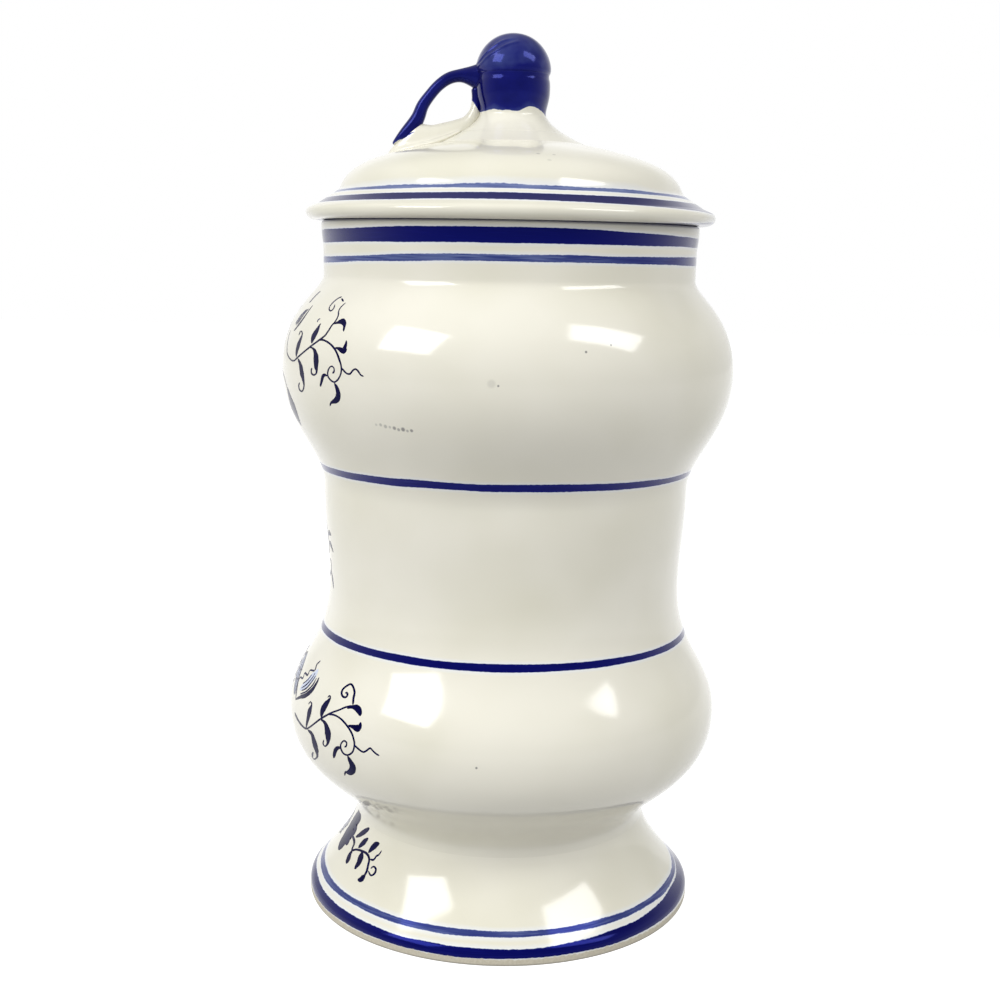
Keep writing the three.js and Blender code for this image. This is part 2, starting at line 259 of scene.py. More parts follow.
def spline(values, count):
    """Even samples of a smooth line through a list of tuples."""
    points = [Vector(v) for v in values]
    points = [points[0] * 2 - points[1], *points, points[-1] * 2 - points[-2]]
    spans = len(values) - 1
    made = []
    for k in range(count + 1):
        place = min(k / count * spans, spans - 1e-9)
        i = int(place)
        t = place - i
        a, b, c, d = points[i : i + 4]
        made.append(0.5 * (2 * b + (c - a) * t + (2 * a - 5 * b + 4 * c - d) * t * t + (3 * b - a - 3 * c + d) * t**3))
    return made


# Modelling


def start_piece():
    if bpy.context.mode != "OBJECT":
        bpy.ops.object.mode_set(mode="OBJECT")
    bpy.ops.object.select_all(action="DESELECT")


def finish_piece(piece, name, body, slot, material, *replaced):
    """Names a piece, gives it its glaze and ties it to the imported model."""
    piece.name = name
    piece.data.name = name
    piece.data.materials.clear()
    piece.data.materials.append(material)
    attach(piece, body)
    if replaced:
        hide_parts(*replaced)


def turned(outline, sides, crease=32):
    """Turns an outline about the jar's axis, as on a wheel."""
    start_piece()
    bpy.ops.mesh.primitive_plane_add(size=MM, location=(0, 0, 0))
    piece = bpy.context.object
    bpy.ops.object.mode_set(mode="EDIT")
    bpy.ops.mesh.select_all(action="SELECT")
    bpy.ops.mesh.merge(type="CENTER")
    bpy.ops.transform.translate(value=(outline[0][0], 0, outline[0][1]))
    for (r0, z0), (r1, z1) in zip(outline, outline[1:]):
        bpy.ops.mesh.extrude_vertices_move(TRANSFORM_OT_translate={"value": (r1 - r0, 0, z1 - z0)})
    bpy.ops.mesh.select_all(action="SELECT")
    bpy.ops.mesh.spin(steps=sides, angle=2 * math.pi, center=(0, 0, 0), axis=(0, 0, 1))
    bpy.ops.mesh.select_all(action="SELECT")
    bpy.ops.mesh.remove_doubles(threshold=2e-6)
    bpy.ops.mesh.normals_make_consistent(inside=False)
    bpy.ops.object.mode_set(mode="OBJECT")
    bpy.ops.object.shade_smooth_by_angle(angle=math.radians(crease))
    return piece


def drawn_out(stations, count, sides=16):
    """Draws an oval of clay out along stations (y, z, half thickness, half width) in the twig's plane."""
    line = spline(stations, count)
    headings = []
    for i in range(count + 1):
        before, after = line[max(i - 1, 0)], line[min(i + 1, count)]
        headings.append(math.atan2(-(after[0] - before[0]), after[1] - before[1]))
    start_piece()
    bpy.ops.mesh.primitive_circle_add(vertices=sides, radius=1, fill_type="NGON", location=(0, 0, 0))
    piece = bpy.context.object
    bpy.ops.object.mode_set(mode="EDIT")
    bpy.ops.mesh.select_all(action="SELECT")
    y, z, thick, wide = line[0]
    bpy.ops.transform.resize(value=(wide, thick, 1))
    bpy.ops.transform.rotate(value=-headings[0], orient_axis="X", center_override=(0, 0, 0))
    bpy.ops.transform.translate(value=(0, y, z))
    for i in range(1, count + 1):
        (y0, z0, thick0, wide0), (y1, z1, thick1, wide1) = line[i - 1], line[i]
        centre = (0, y1, z1)
        bpy.ops.mesh.extrude_region_move(TRANSFORM_OT_translate={"value": (0, y1 - y0, z1 - z0)})
        bpy.ops.transform.rotate(value=headings[i - 1] - headings[i], orient_axis="X", center_override=centre)
        k = thick1 / thick0
        bpy.ops.transform.resize(value=(wide1 / wide0, k, k), center_override=centre)
    bpy.ops.mesh.select_all(action="SELECT")
    bpy.ops.mesh.normals_make_consistent(inside=False)
    bpy.ops.object.mode_set(mode="OBJECT")
    rounding = piece.modifiers.new("Rounding", "SUBSURF")
    rounding.levels = rounding.render_levels = 2
    bpy.ops.object.modifier_apply(modifier=rounding.name)
    bpy.ops.object.shade_smooth()
    return piece


def mark_vertices(piece, name, value):
    """Stores a number for each vertex, which the piece's glaze reads."""
    layer = piece.data.attributes.new(name, "FLOAT", "POINT")
    for vertex in piece.data.vertices:
        layer.data[vertex.index].value = value(vertex.co)


def mark_outside(piece, skin):
    """Marks the outside, the only face that brush lines are on."""
    mark_vertices(piece, "outside", lambda p: 1.0 if p.xy.length > point_on(skin, p.z)[0] - MM else 0.0)


def brushed(strokes, skin):
    """Lays brushstrokes on a glazed skin, each a strip of glaze 0.18 mm thick whose edges waver a little."""
    strips = []
    for load, path in strokes:
        rough = [Vector((math.radians(a) * point_on(skin, h * MM)[0] / MM, h)) for a, h, w in path]
        length = sum((b - a).length for a, b in zip(rough, rough[1:]))
        # A pale wash lies under the lines drawn over it
        rise = (0.025 if load > 0.3 else 0.012) * MM
        rows = max(6, min(56, round(length / 0.55)))
        line = spline([(math.radians(a), h * MM, w * MM) for a, h, w in path], rows)
        start_piece()
        bpy.ops.mesh.primitive_grid_add(x_subdivisions=4, y_subdivisions=rows, size=1, location=(0, 0, 0))
        strip = bpy.context.object
        density = strip.data.attributes.new("load", "FLOAT", "POINT")
        for vertex in strip.data.vertices:
            across, t = vertex.co.x * 2, vertex.co.y + 0.5
            i = round(t * rows)
            here = line[i]
            ahead = line[min(i + 1, rows)] - line[max(i - 1, 0)]
            r, upward = point_on(skin, here.y)
            along = Vector((ahead.x * r, ahead.y / max(upward.y, 0.2))).normalized()
            waver = 1 + 0.14 * noise.noise(Vector((length, t * length * 0.9, across)))
            taper = min(1.0, 0.35 + (rows - i) * 0.65, 0.35 + i * 0.65)
            half = (max(0.5 * here.z * waver, 0.04 * MM) + 0.07 * MM) * taper * across
            angle = here.x + along.y * half / r
            height = here.y - along.x * half * upward.y
            r, upward = point_on(skin, height)
            r += upward.y * rise
            height -= upward.x * rise
            vertex.co = (r * math.sin(angle), -r * math.cos(angle), height)
            density.data[vertex.index].value = load * (1 - 0.08 * t)
        strips.append(strip)
    start_piece()
    for strip in strips:
        strip.select_set(True)
    bpy.context.view_layer.objects.active = strips[0]
    bpy.ops.object.join()
    piece = bpy.context.object
    body = piece.modifiers.new("Body", "SOLIDIFY")
    body.thickness = 0.18 * MM
    body.offset = -1
    bpy.ops.object.modifier_apply(modifier=body.name)
    bpy.ops.object.shade_smooth_by_angle(angle=math.radians(35))
    return piece


# Materials


def add(tree, kind, inputs=None, **settings):
    """Adds a shader node. An input is given as a value, a socket, or a node whose first output is used."""
    node = tree.nodes.new("ShaderNode" + kind)
    for key, value in settings.items():
        setattr(node, key, value)
    for socket, value in (inputs or {}).items():
        if isinstance(value, bpy.types.Node):
            value = value.outputs[0]
        if isinstance(value, bpy.types.NodeSocket):
            tree.links.new(value, node.inputs[socket])
        else:
            node.inputs[socket].default_value = value
    return node


def start_material(name):
    material = bpy.data.materials.new(name)
    material.use_nodes = True
    tree = material.node_tree
    tree.nodes.clear()
    place = add(tree, "TexCoord").outputs["Object"]
    return material, tree, place


def glaze_relief(tree, place, pits=None):
    """The dipped glaze's slow swell 30 mm apart, ripples 11 mm apart, fine dimples 2 mm apart, and pinholes."""
    swelling = add(tree, "TexNoise", {"Vector": place, "Scale": 1 / (30 * MM), "Detail": 1.0})
    relief = add(tree, "Bump", {"Height": swelling, "Strength": 1.0, "Distance": 0.17 * MM})
    ripples = add(tree, "TexNoise", {"Vector": place, "Scale": 1 / (11 * MM), "Detail": 1.0})
    relief = add(tree, "Bump", {"Height": ripples, "Strength": 1.0, "Distance": 0.05 * MM, "Normal": relief})
    dimples = add(tree, "TexNoise", {"Vector": place, "Scale": 1 / (2.1 * MM), "Detail": 1.0})
    inputs = {"Height": dimples, "Strength": 1.0, "Distance": 0.005 * MM, "Normal": relief}
    relief = add(tree, "Bump", inputs)
    if pits:
        inputs = {"Height": pits, "Strength": 0.6, "Distance": 0.1 * MM, "Normal": relief}
        relief = add(tree, "Bump", inputs, invert=True)
    return relief


def cobalt_shades(tree, strength, full, nearly):
    """Cobalt from a pale wash to blue-black, by how thick it lies."""
    shades = add(tree, "ValToRGB", {0: strength})
    ramp = shades.color_ramp
    ramp.elements[0].color = linear("#D3DBEC")
    ramp.elements[1].color = full
    ramp.elements.new(0.3).color = tuple(bpy.context.scene.glazes.wash)
    ramp.elements.new(0.55).color = linear("#3B4578")
    ramp.elements.new(0.8).color = nearly
    return shades.outputs[0]


def finish_material(tree, surface, relief, roughness=None, tint=None, gloss=0.5):
    """A glossy lead glaze of refraction 1.62. Cobalt in it tints what it mirrors."""
    skin = add(tree, "BsdfPrincipled", {"Base Color": surface, "Normal": relief})
    skin.inputs["IOR"].default_value = 1.62
    skin.inputs["Roughness"].default_value = 0.12
    skin.inputs["Specular IOR Level"].default_value = gloss
    if isinstance(tint, tuple):
        skin.inputs["Specular Tint"].default_value = tint
    elif tint:
        tree.links.new(tint, skin.inputs["Specular Tint"])
    if roughness:
        tree.links.new(roughness.outputs[0], skin.inputs["Roughness"])
    add(tree, "OutputMaterial", {0: skin})


def brushed_band(
    tree, along, sides, wobble, grain, streak,
    low, high, strength, ragged=0.35, dry=0.35, deeper=0.0, low_dip=(0, 0), high_dip=(0, 0),
):
    """A brush line between two places in mm, and the pale blue that bleeds from it. Its edges waver and dip to the
    left and right, and its colour runs in streaks and lies deeper to the right."""
    steps, bleeds = [], []
    for channel, edge, dips, bleed in ((0, low, low_dip, (-1.2, 0)), (1, high, high_dip, (0, 1.2))):
        place = {0: wobble.outputs[channel], 1: 2.2 * ragged * MM, 2: along}
        place = add(tree, "Math", place, operation="MULTIPLY_ADD")
        place = add(tree, "Math", {0: grain, 1: 0.8 * ragged * MM, 2: place}, operation="MULTIPLY_ADD")
        for side, dip in zip(sides, dips):
            place = add(tree, "Math", {0: side, 1: dip * MM, 2: place}, operation="MULTIPLY_ADD")
        middle = edge * MM + 1.5 * ragged * MM
        inputs = {"Value": place, "From Min": middle - 0.16 * MM, "From Max": middle + 0.16 * MM}
        steps.append(add(tree, "MapRange", inputs, interpolation_type="SMOOTHSTEP"))
        inputs = {"Value": place, "From Min": middle + bleed[0] * MM, "From Max": middle + bleed[1] * MM}
        bleeds.append(add(tree, "MapRange", inputs))
    inside = add(tree, "Math", {0: steps[0], 1: steps[1]}, operation="SUBTRACT")
    halo = add(tree, "Math", {0: bleeds[0], 1: bleeds[1]}, operation="SUBTRACT")
    level = add(tree, "Math", {0: streak, 1: dry, 2: strength - dry / 2}, operation="MULTIPLY_ADD")
    level = add(tree, "Math", {0: sides[1], 1: deeper, 2: level}, operation="MULTIPLY_ADD")
    return add(tree, "Math", {0: inside, 1: level}, operation="MULTIPLY", use_clamp=True), halo


def thrown_glaze(name, bands=(), across="height", wear=(), bare_edge=False, marked=False):
    """Lead-glazed earthenware, thrown, dipped, and brushed with cobalt.

    It gives a glossy skin over warm cream that goes greener where it pools, with pinholes, a slow swell in its
    reflections, and brush lines that waver and run in streaks.
    """
    glazes = bpy.context.scene.glazes
    material, tree, place = start_material(name)
    axes = add(tree, "SeparateXYZ", {0: place})
    height = axes.outputs[2]
    flat = add(tree, "VectorMath", {0: place, 1: (1, 1, 0)}, operation="MULTIPLY")
    radius = add(tree, "VectorMath", {0: flat}, operation="LENGTH").outputs[1]
    along = radius if across == "radius" else height

    # Glaze thin and thick, 45 mm apart
    pool = add(tree, "TexNoise", {"Vector": place, "Scale": 1 / (45 * MM), "Detail": 2.0, "Roughness": 0.45})
    pool = add(tree, "MapRange", {"Value": pool, "From Min": 0.4, "From Max": 0.72})
    surface = add(tree, "Mix", {0: pool, 6: tuple(glazes.cream), 7: tuple(glazes.pooled)}, data_type="RGBA")

    # Pinholes 0.4 mm across, in one of four cells of 17 mm
    cells = add(tree, "TexVoronoi", {"Vector": place, "Scale": 1 / (17 * MM)})
    chosen = add(tree, "SeparateColor", {0: cells.outputs["Color"]})
    chosen = add(tree, "Math", {0: chosen, 1: 0.74}, operation="GREATER_THAN")
    near = add(tree, "Math", {0: cells.outputs["Distance"], 1: 0.2 / 17}, operation="LESS_THAN")
    pits = add(tree, "Math", {0: chosen, 1: near}, operation="MULTIPLY")
    depth = add(tree, "Math", {0: pits, 1: 0.55}, operation="MULTIPLY")
    surface = add(tree, "Mix", {0: depth, 6: surface.outputs[2], 7: linear("#7D745F")}, data_type="RGBA")

    # Scuffs, chips and smudges of wear
    for spot, reach, dark in wear:
        gap = add(tree, "VectorMath", {0: place, 1: spot}, operation="DISTANCE").outputs[1]
        inputs = {"Value": gap, "From Min": 0.5 * reach, "From Max": reach, "To Min": dark, "To Max": 0.0}
        worn = add(tree, "MapRange", inputs)
        surface = add(tree, "Mix", {0: worn, 6: surface.outputs[2], 7: linear("#4A4A52")}, data_type="RGBA")

    # Hand wobble over 25 mm, grain of 1.3 mm, and bristle marks 0.45 mm apart drawn out round the pot
    wobble = add(tree, "TexNoise", {"Vector": place, "Scale": 1 / (25 * MM), "Detail": 1.0})
    wobble = add(tree, "SeparateColor", {0: wobble.outputs["Color"]})
    grain = add(tree, "TexNoise", {"Vector": place, "Scale": 1 / (1.3 * MM), "Detail": 2.0}).outputs[0]
    drawn = add(tree, "VectorMath", {0: flat, 1: (0.04, 0.04, 0.0)}, operation="MULTIPLY")
    lanes = add(tree, "CombineXYZ", {2: along})
    lanes = add(tree, "VectorMath", {0: drawn, 1: lanes}, operation="ADD")
    streak = add(tree, "TexNoise", {"Vector": lanes, "Scale": 1 / (0.45 * MM), "Detail": 2.0}).outputs[0]
    sideways = add(tree, "Math", {0: axes.outputs[1], 1: radius}, operation="DIVIDE")
    sides = []
    for way in (-1.0, 1.0):
        side = add(tree, "Math", {0: sideways, 1: way}, operation="MULTIPLY", use_clamp=True)
        sides.append(add(tree, "Math", {0: side, 1: 2.0}, operation="POWER"))

    strength = tint = halo = None
    for band in bands:
        line, bled = brushed_band(tree, along, sides, wobble, grain, streak, **band)
        strength = add(tree, "Math", {0: strength, 1: line}, operation="MAXIMUM") if strength else line
        halo = add(tree, "Math", {0: halo, 1: bled}, operation="MAXIMUM") if halo else bled
    if halo:
        outside = add(tree, "Attribute", attribute_name="outside").outputs["Fac"]
        strength = add(tree, "Math", {0: strength, 1: outside}, operation="MULTIPLY")
        halo = add(tree, "Math", {0: halo, 1: outside}, operation="MULTIPLY")
        halo = add(tree, "Math", {0: halo, 1: 0.58}, operation="MULTIPLY", use_clamp=True)
        surface = add(tree, "Mix", {0: halo, 6: surface.outputs[2], 7: linear("#E3E9F5")}, data_type="RGBA")
    if marked:
        # The knob's blue, whose edge the pieces carry in millimetres
        marked = add(tree, "Attribute", attribute_name="paint_edge").outputs["Fac"]
        drift = add(tree, "TexNoise", {"Vector": place, "Scale": 1 / (9 * MM), "Detail": 1.0})
        edge = add(tree, "Math", {0: drift, 1: 4.0, 2: marked}, operation="MULTIPLY_ADD")
        edge = add(tree, "Math", {0: grain, 1: 0.5, 2: edge}, operation="MULTIPLY_ADD")
        thin = add(tree, "MapRange", {"Value": edge, "From Min": 2.2, "From Max": 4.4, "To Min": 0.72, "To Max": 1.0})
        edge = {"Value": edge, "From Min": 2.1, "From Max": 2.4}
        edge = add(tree, "MapRange", edge, interpolation_type="SMOOTHSTEP")
        cloud = add(tree, "TexNoise", {"Vector": place, "Scale": 1 / (7 * MM), "Detail": 2.0})
        cloud = {"Value": cloud, "From Min": 0.35, "From Max": 0.7, "To Min": 1.0, "To Max": 0.8}
        cloud = add(tree, "MapRange", cloud)
        strength = add(tree, "Math", {0: edge, 1: cloud}, operation="MULTIPLY")
        strength = add(tree, "Math", {0: strength, 1: thin}, operation="MULTIPLY")
        crown = {"Value": marked, "From Min": 11.0, "From Max": 15.0, "To Min": 1.0, "To Max": 0.78}
        crown = add(tree, "MapRange", crown)
        strength = add(tree, "Math", {0: strength, 1: crown}, operation="MULTIPLY")
    if strength:
        cover = {"Value": strength, "From Min": 0.02, "From Max": 0.4}
        cover = add(tree, "MapRange", cover, interpolation_type="SMOOTHSTEP")
        shades = cobalt_shades(tree, strength, tuple(glazes.cobalt), linear("#090B5C"))
        surface = add(tree, "Mix", {0: cover, 6: surface.outputs[2], 7: shades}, data_type="RGBA")
        inputs = {0: cover, 6: (1, 1, 1, 1), 7: MIRRORED if marked else BRUSHED}
        tint = add(tree, "Mix", inputs, data_type="RGBA").outputs[2]

    roughness = None
    if bare_edge:
        # Glaze wiped off the lowest 2.6 mm leaves bare gritty clay
        wiped = add(tree, "Math", {0: grain, 1: 1.4 * MM, 2: height}, operation="MULTIPLY_ADD")
        inputs = {"Value": wiped, "From Min": 2.9 * MM, "From Max": 3.3 * MM, "To Min": 1.0, "To Max": 0.0}
        wiped = add(tree, "MapRange", inputs)
        grit = add(tree, "TexNoise", {"Vector": place, "Scale": 1 / (0.8 * MM), "Detail": 3.0, "Roughness": 0.7})
        clay = add(tree, "Mix", {0: grit, 6: linear("#AFA791"), 7: tuple(glazes.biscuit)}, data_type="RGBA")
        surface = add(tree, "Mix", {0: wiped, 6: surface.outputs[2], 7: clay.outputs[2]}, data_type="RGBA")
        # A dark line along the lowest 0.8 mm is painted contact shadow, where the foot meets the floor
        painted_contact_shadow = {"Value": height, "From Min": 0.2 * MM, "From Max": 0.8 * MM, "To Min": 0.8, "To Max": 0.0}
        painted_contact_shadow = add(tree, "MapRange", painted_contact_shadow)
        surface = add(tree, "Mix", {0: painted_contact_shadow, 6: surface.outputs[2], 7: linear("#77736A")}, data_type="RGBA")
        roughness = add(tree, "MapRange", {"Value": wiped, "To Min": 0.12, "To Max": 0.6})
    finish_material(tree, surface.outputs[2], glaze_relief(tree, place, pits), roughness, tint)
    return material


def brushwork_glaze():
    """Cobalt oxide brushed on the raw glaze, then fired into it: blue-black where the brush was full, a clear
    slate blue where it ran dry, under the same gloss as the glaze round it."""
    material, tree, place = start_material("Cobalt brushwork fired into lead glaze")
    load = add(tree, "Attribute", attribute_name="load").outputs["Fac"]
    cloud = add(tree, "TexNoise", {"Vector": place, "Scale": 1 / (2.4 * MM), "Detail": 2.0})
    cloud = add(tree, "MapRange", {"Value": cloud, "From Min": 0.3, "From Max": 0.7, "To Min": 1.1, "To Max": 0.9})
    strength = add(tree, "Math", {0: load, 1: cloud}, operation="MULTIPLY", use_clamp=True)
    shades = cobalt_shades(tree, strength, tuple(bpy.context.scene.glazes.brushed), linear("#060741"))
    finish_material(tree, shades, glaze_relief(tree, place), tint=BRUSHED, gloss=0.07)
    return material


def backdrop_rays(tree):
    """1 for the rays that see the white backdrop: the camera's, and those of reflections and glass."""
    rays = add(tree, "LightPath")
    seen = {0: rays.outputs["Is Camera Ray"], 1: rays.outputs["Is Glossy Ray"]}
    seen = add(tree, "Math", seen, operation="MAXIMUM")
    return add(tree, "Math", {0: seen, 1: rays.outputs["Is Transmission Ray"]}, operation="MAXIMUM")


def floor_finish():
    """Matt white paper sweep. The camera sees it near white, and its shadows stay."""
    material, tree, _ = start_material("Matt white paper sweep")
    paper = add(tree, "BsdfDiffuse", {0: linear("#ACACAC")})
    glow = add(tree, "Math", {0: backdrop_rays(tree), 1: 0.85}, operation="MULTIPLY")
    glow = add(tree, "Emission", {0: (1, 1, 1, 1), 1: glow})
    both = add(tree, "AddShader", {0: paper, 1: glow})
    add(tree, "OutputMaterial", {0: both})
    return material


# Brush lines, in millimetres of height, or of radius on the lid

FOOT_BANDS = (
    {
        "low": 2.7, "high": 5.5, "strength": 0.98, "ragged": 0.5, "dry": 0.5, "deeper": 0.3,
        "low_dip": (0, -0.7), "high_dip": (-0.8, -2.6),
    },
    {
        "low": 8.3, "high": 9.8, "strength": 0.56, "ragged": 0.4, "dry": 0.5,
        "low_dip": (0.2, -0.1), "high_dip": (0.2, -0.1),
    },
)
BODY_BANDS = (
    {
        "low": 98.6, "high": 100.9, "strength": 0.95, "ragged": 0.3, "dry": 0.4,
        "low_dip": (0.3, 0.6), "high_dip": (0.5, 1.1),
    },
    {"low": 157.0, "high": 159.5, "strength": 0.88, "dry": 0.6, "low_dip": (1.1, 0.8), "high_dip": (1.2, 1.6)},
    {
        "low": 228.1, "high": 230.2, "strength": 0.5, "ragged": 0.4, "dry": 0.5, "deeper": 0.35,
        "low_dip": (1.8, 0.6), "high_dip": (2.0, 0),
    },
    {"low": 233.6, "high": 238.4, "strength": 1.0, "dry": 0.3, "low_dip": (0.6, 0), "high_dip": (1.3, 2.2)},
)
LID_BANDS = (
    {"low": 62.6, "high": 65.8, "strength": 1.0, "dry": 0.4, "low_dip": (-1.3, -1.6), "high_dip": (-0.8, -4.2)},
    {"low": 59.0, "high": 60.5, "strength": 0.42, "dry": 0.4, "low_dip": (-1.0, -1.4), "high_dip": (-0.8, -1.6)},
)

# Raised edges of the sepals, from the twig back over the fruit: degrees from the twig and height

SEPALS = (
    ((8, 293.0), (23.9, 293.9), (36.6, 296.0), (47.3, 297.8), (62.7, 299.8), (81.1, 300.9), (94, 301.3)),
    ((12, 291.9), (30.9, 293.0), (46.3, 295.1), (61.7, 297.0), (77.0, 298.6), (94.0, 299.7), (104, 300.1)),
)

# The twig's clay: distance from the knob's axis, height, half thickness and half width. Heights are above the
# knob's neck for the arch and the climb, and above the dome for what is laid on it.

ARCH = (
    (8, 12.2, 5.0, 4.2), (11.5, 12.8, 4.9, 3.9), (14.4, 13.1, 3.5, 3.2), (18, 13.2, 2.3, 2.7),
    (21.9, 12.3, 2.1, 2.4), (25.5, 9.8, 2.0, 2.4), (28.4, 6.5, 2.0, 2.4), (30.9, 3.0, 2.2, 2.5),
)
DESCENT = (
    (32.1, 10.8, 2.4, 2.6), (33.6, 8.4, 2.6, 2.6), (36.0, 6.4, 2.3, 2.4), (38.5, 4.7, 1.6, 1.9), (41.0, 3.1, 0.6, 1.0),
)
SPREAD = (
    (42.4, 0.4, 0.8, 1.2), (38.5, 0.7, 3.0, 2.6), (34.5, 0.6, 6.0, 3.2), (31.2, 0.6, 8.0, 3.3), (28.6, 0.6, 6.9, 3.3),
    (26, 0.6, 6.3, 3.3), (22, 0.5, 5.6, 3.4), (18.3, 0.5, 4.6, 3.4), (14.6, 1.0, 3.2, 3.4),
)
CLIMB = ((12.6, 1.6, 2.2, 2.9), (12.3, 6.0, 1.9, 2.3), (12.5, 9.6, 2.1, 2.4))
MOUND = (
    (43, 0.1, 0.4, 1.4), (39, 0.1, 1.3, 3.8), (34, 0.1, 1.8, 5.6), (28, 0.1, 2.0, 6.6), (22, 0.1, 1.6, 6.4),
    (17, 0, 0.8, 5.0),
)

# Marks of wear: degrees from the front, height or radius, reach and darkness

BODY_WEAR = (
    (57.9, 177.2, 0.6, 0.25), (59.2, 177.3, 0.7, 0.4), (60.5, 176.9, 0.8, 0.45), (61.7, 176.8, 0.6, 0.35),
    (62.9, 176.6, 0.8, 0.65), (64.0, 176.2, 0.7, 0.55), (65.2, 176.4, 0.9, 0.75), (66.3, 176.0, 0.6, 0.5),
    (67.4, 176.2, 0.7, 0.7), (107.8, 201.5, 0.5, 0.8), (114.2, 203.5, 0.4, 0.7), (84.4, 70.4, 0.5, 0.75),
    (88.0, 191.2, 0.45, 0.7), (86.5, 191.8, 1.6, 0.16),
)
LID_WEAR = (
    (147.8, 60.9, 0.9, 0.9), (137.2, 70.3, 1.2, 0.35), (100.0, 47.5, 0.8, 0.3), (106.0, 48.0, 0.7, 0.3),
    (103.0, 52.0, 0.9, 0.15),
)

# Brushstrokes: (load of cobalt, places as degrees from the front, millimetres of height and millimetres of width).
# Each spray is its right half: the main stem first, then leaves, tendrils and curled side stems along it, and last
# the dark and pale strokes of the flower that it grows from.

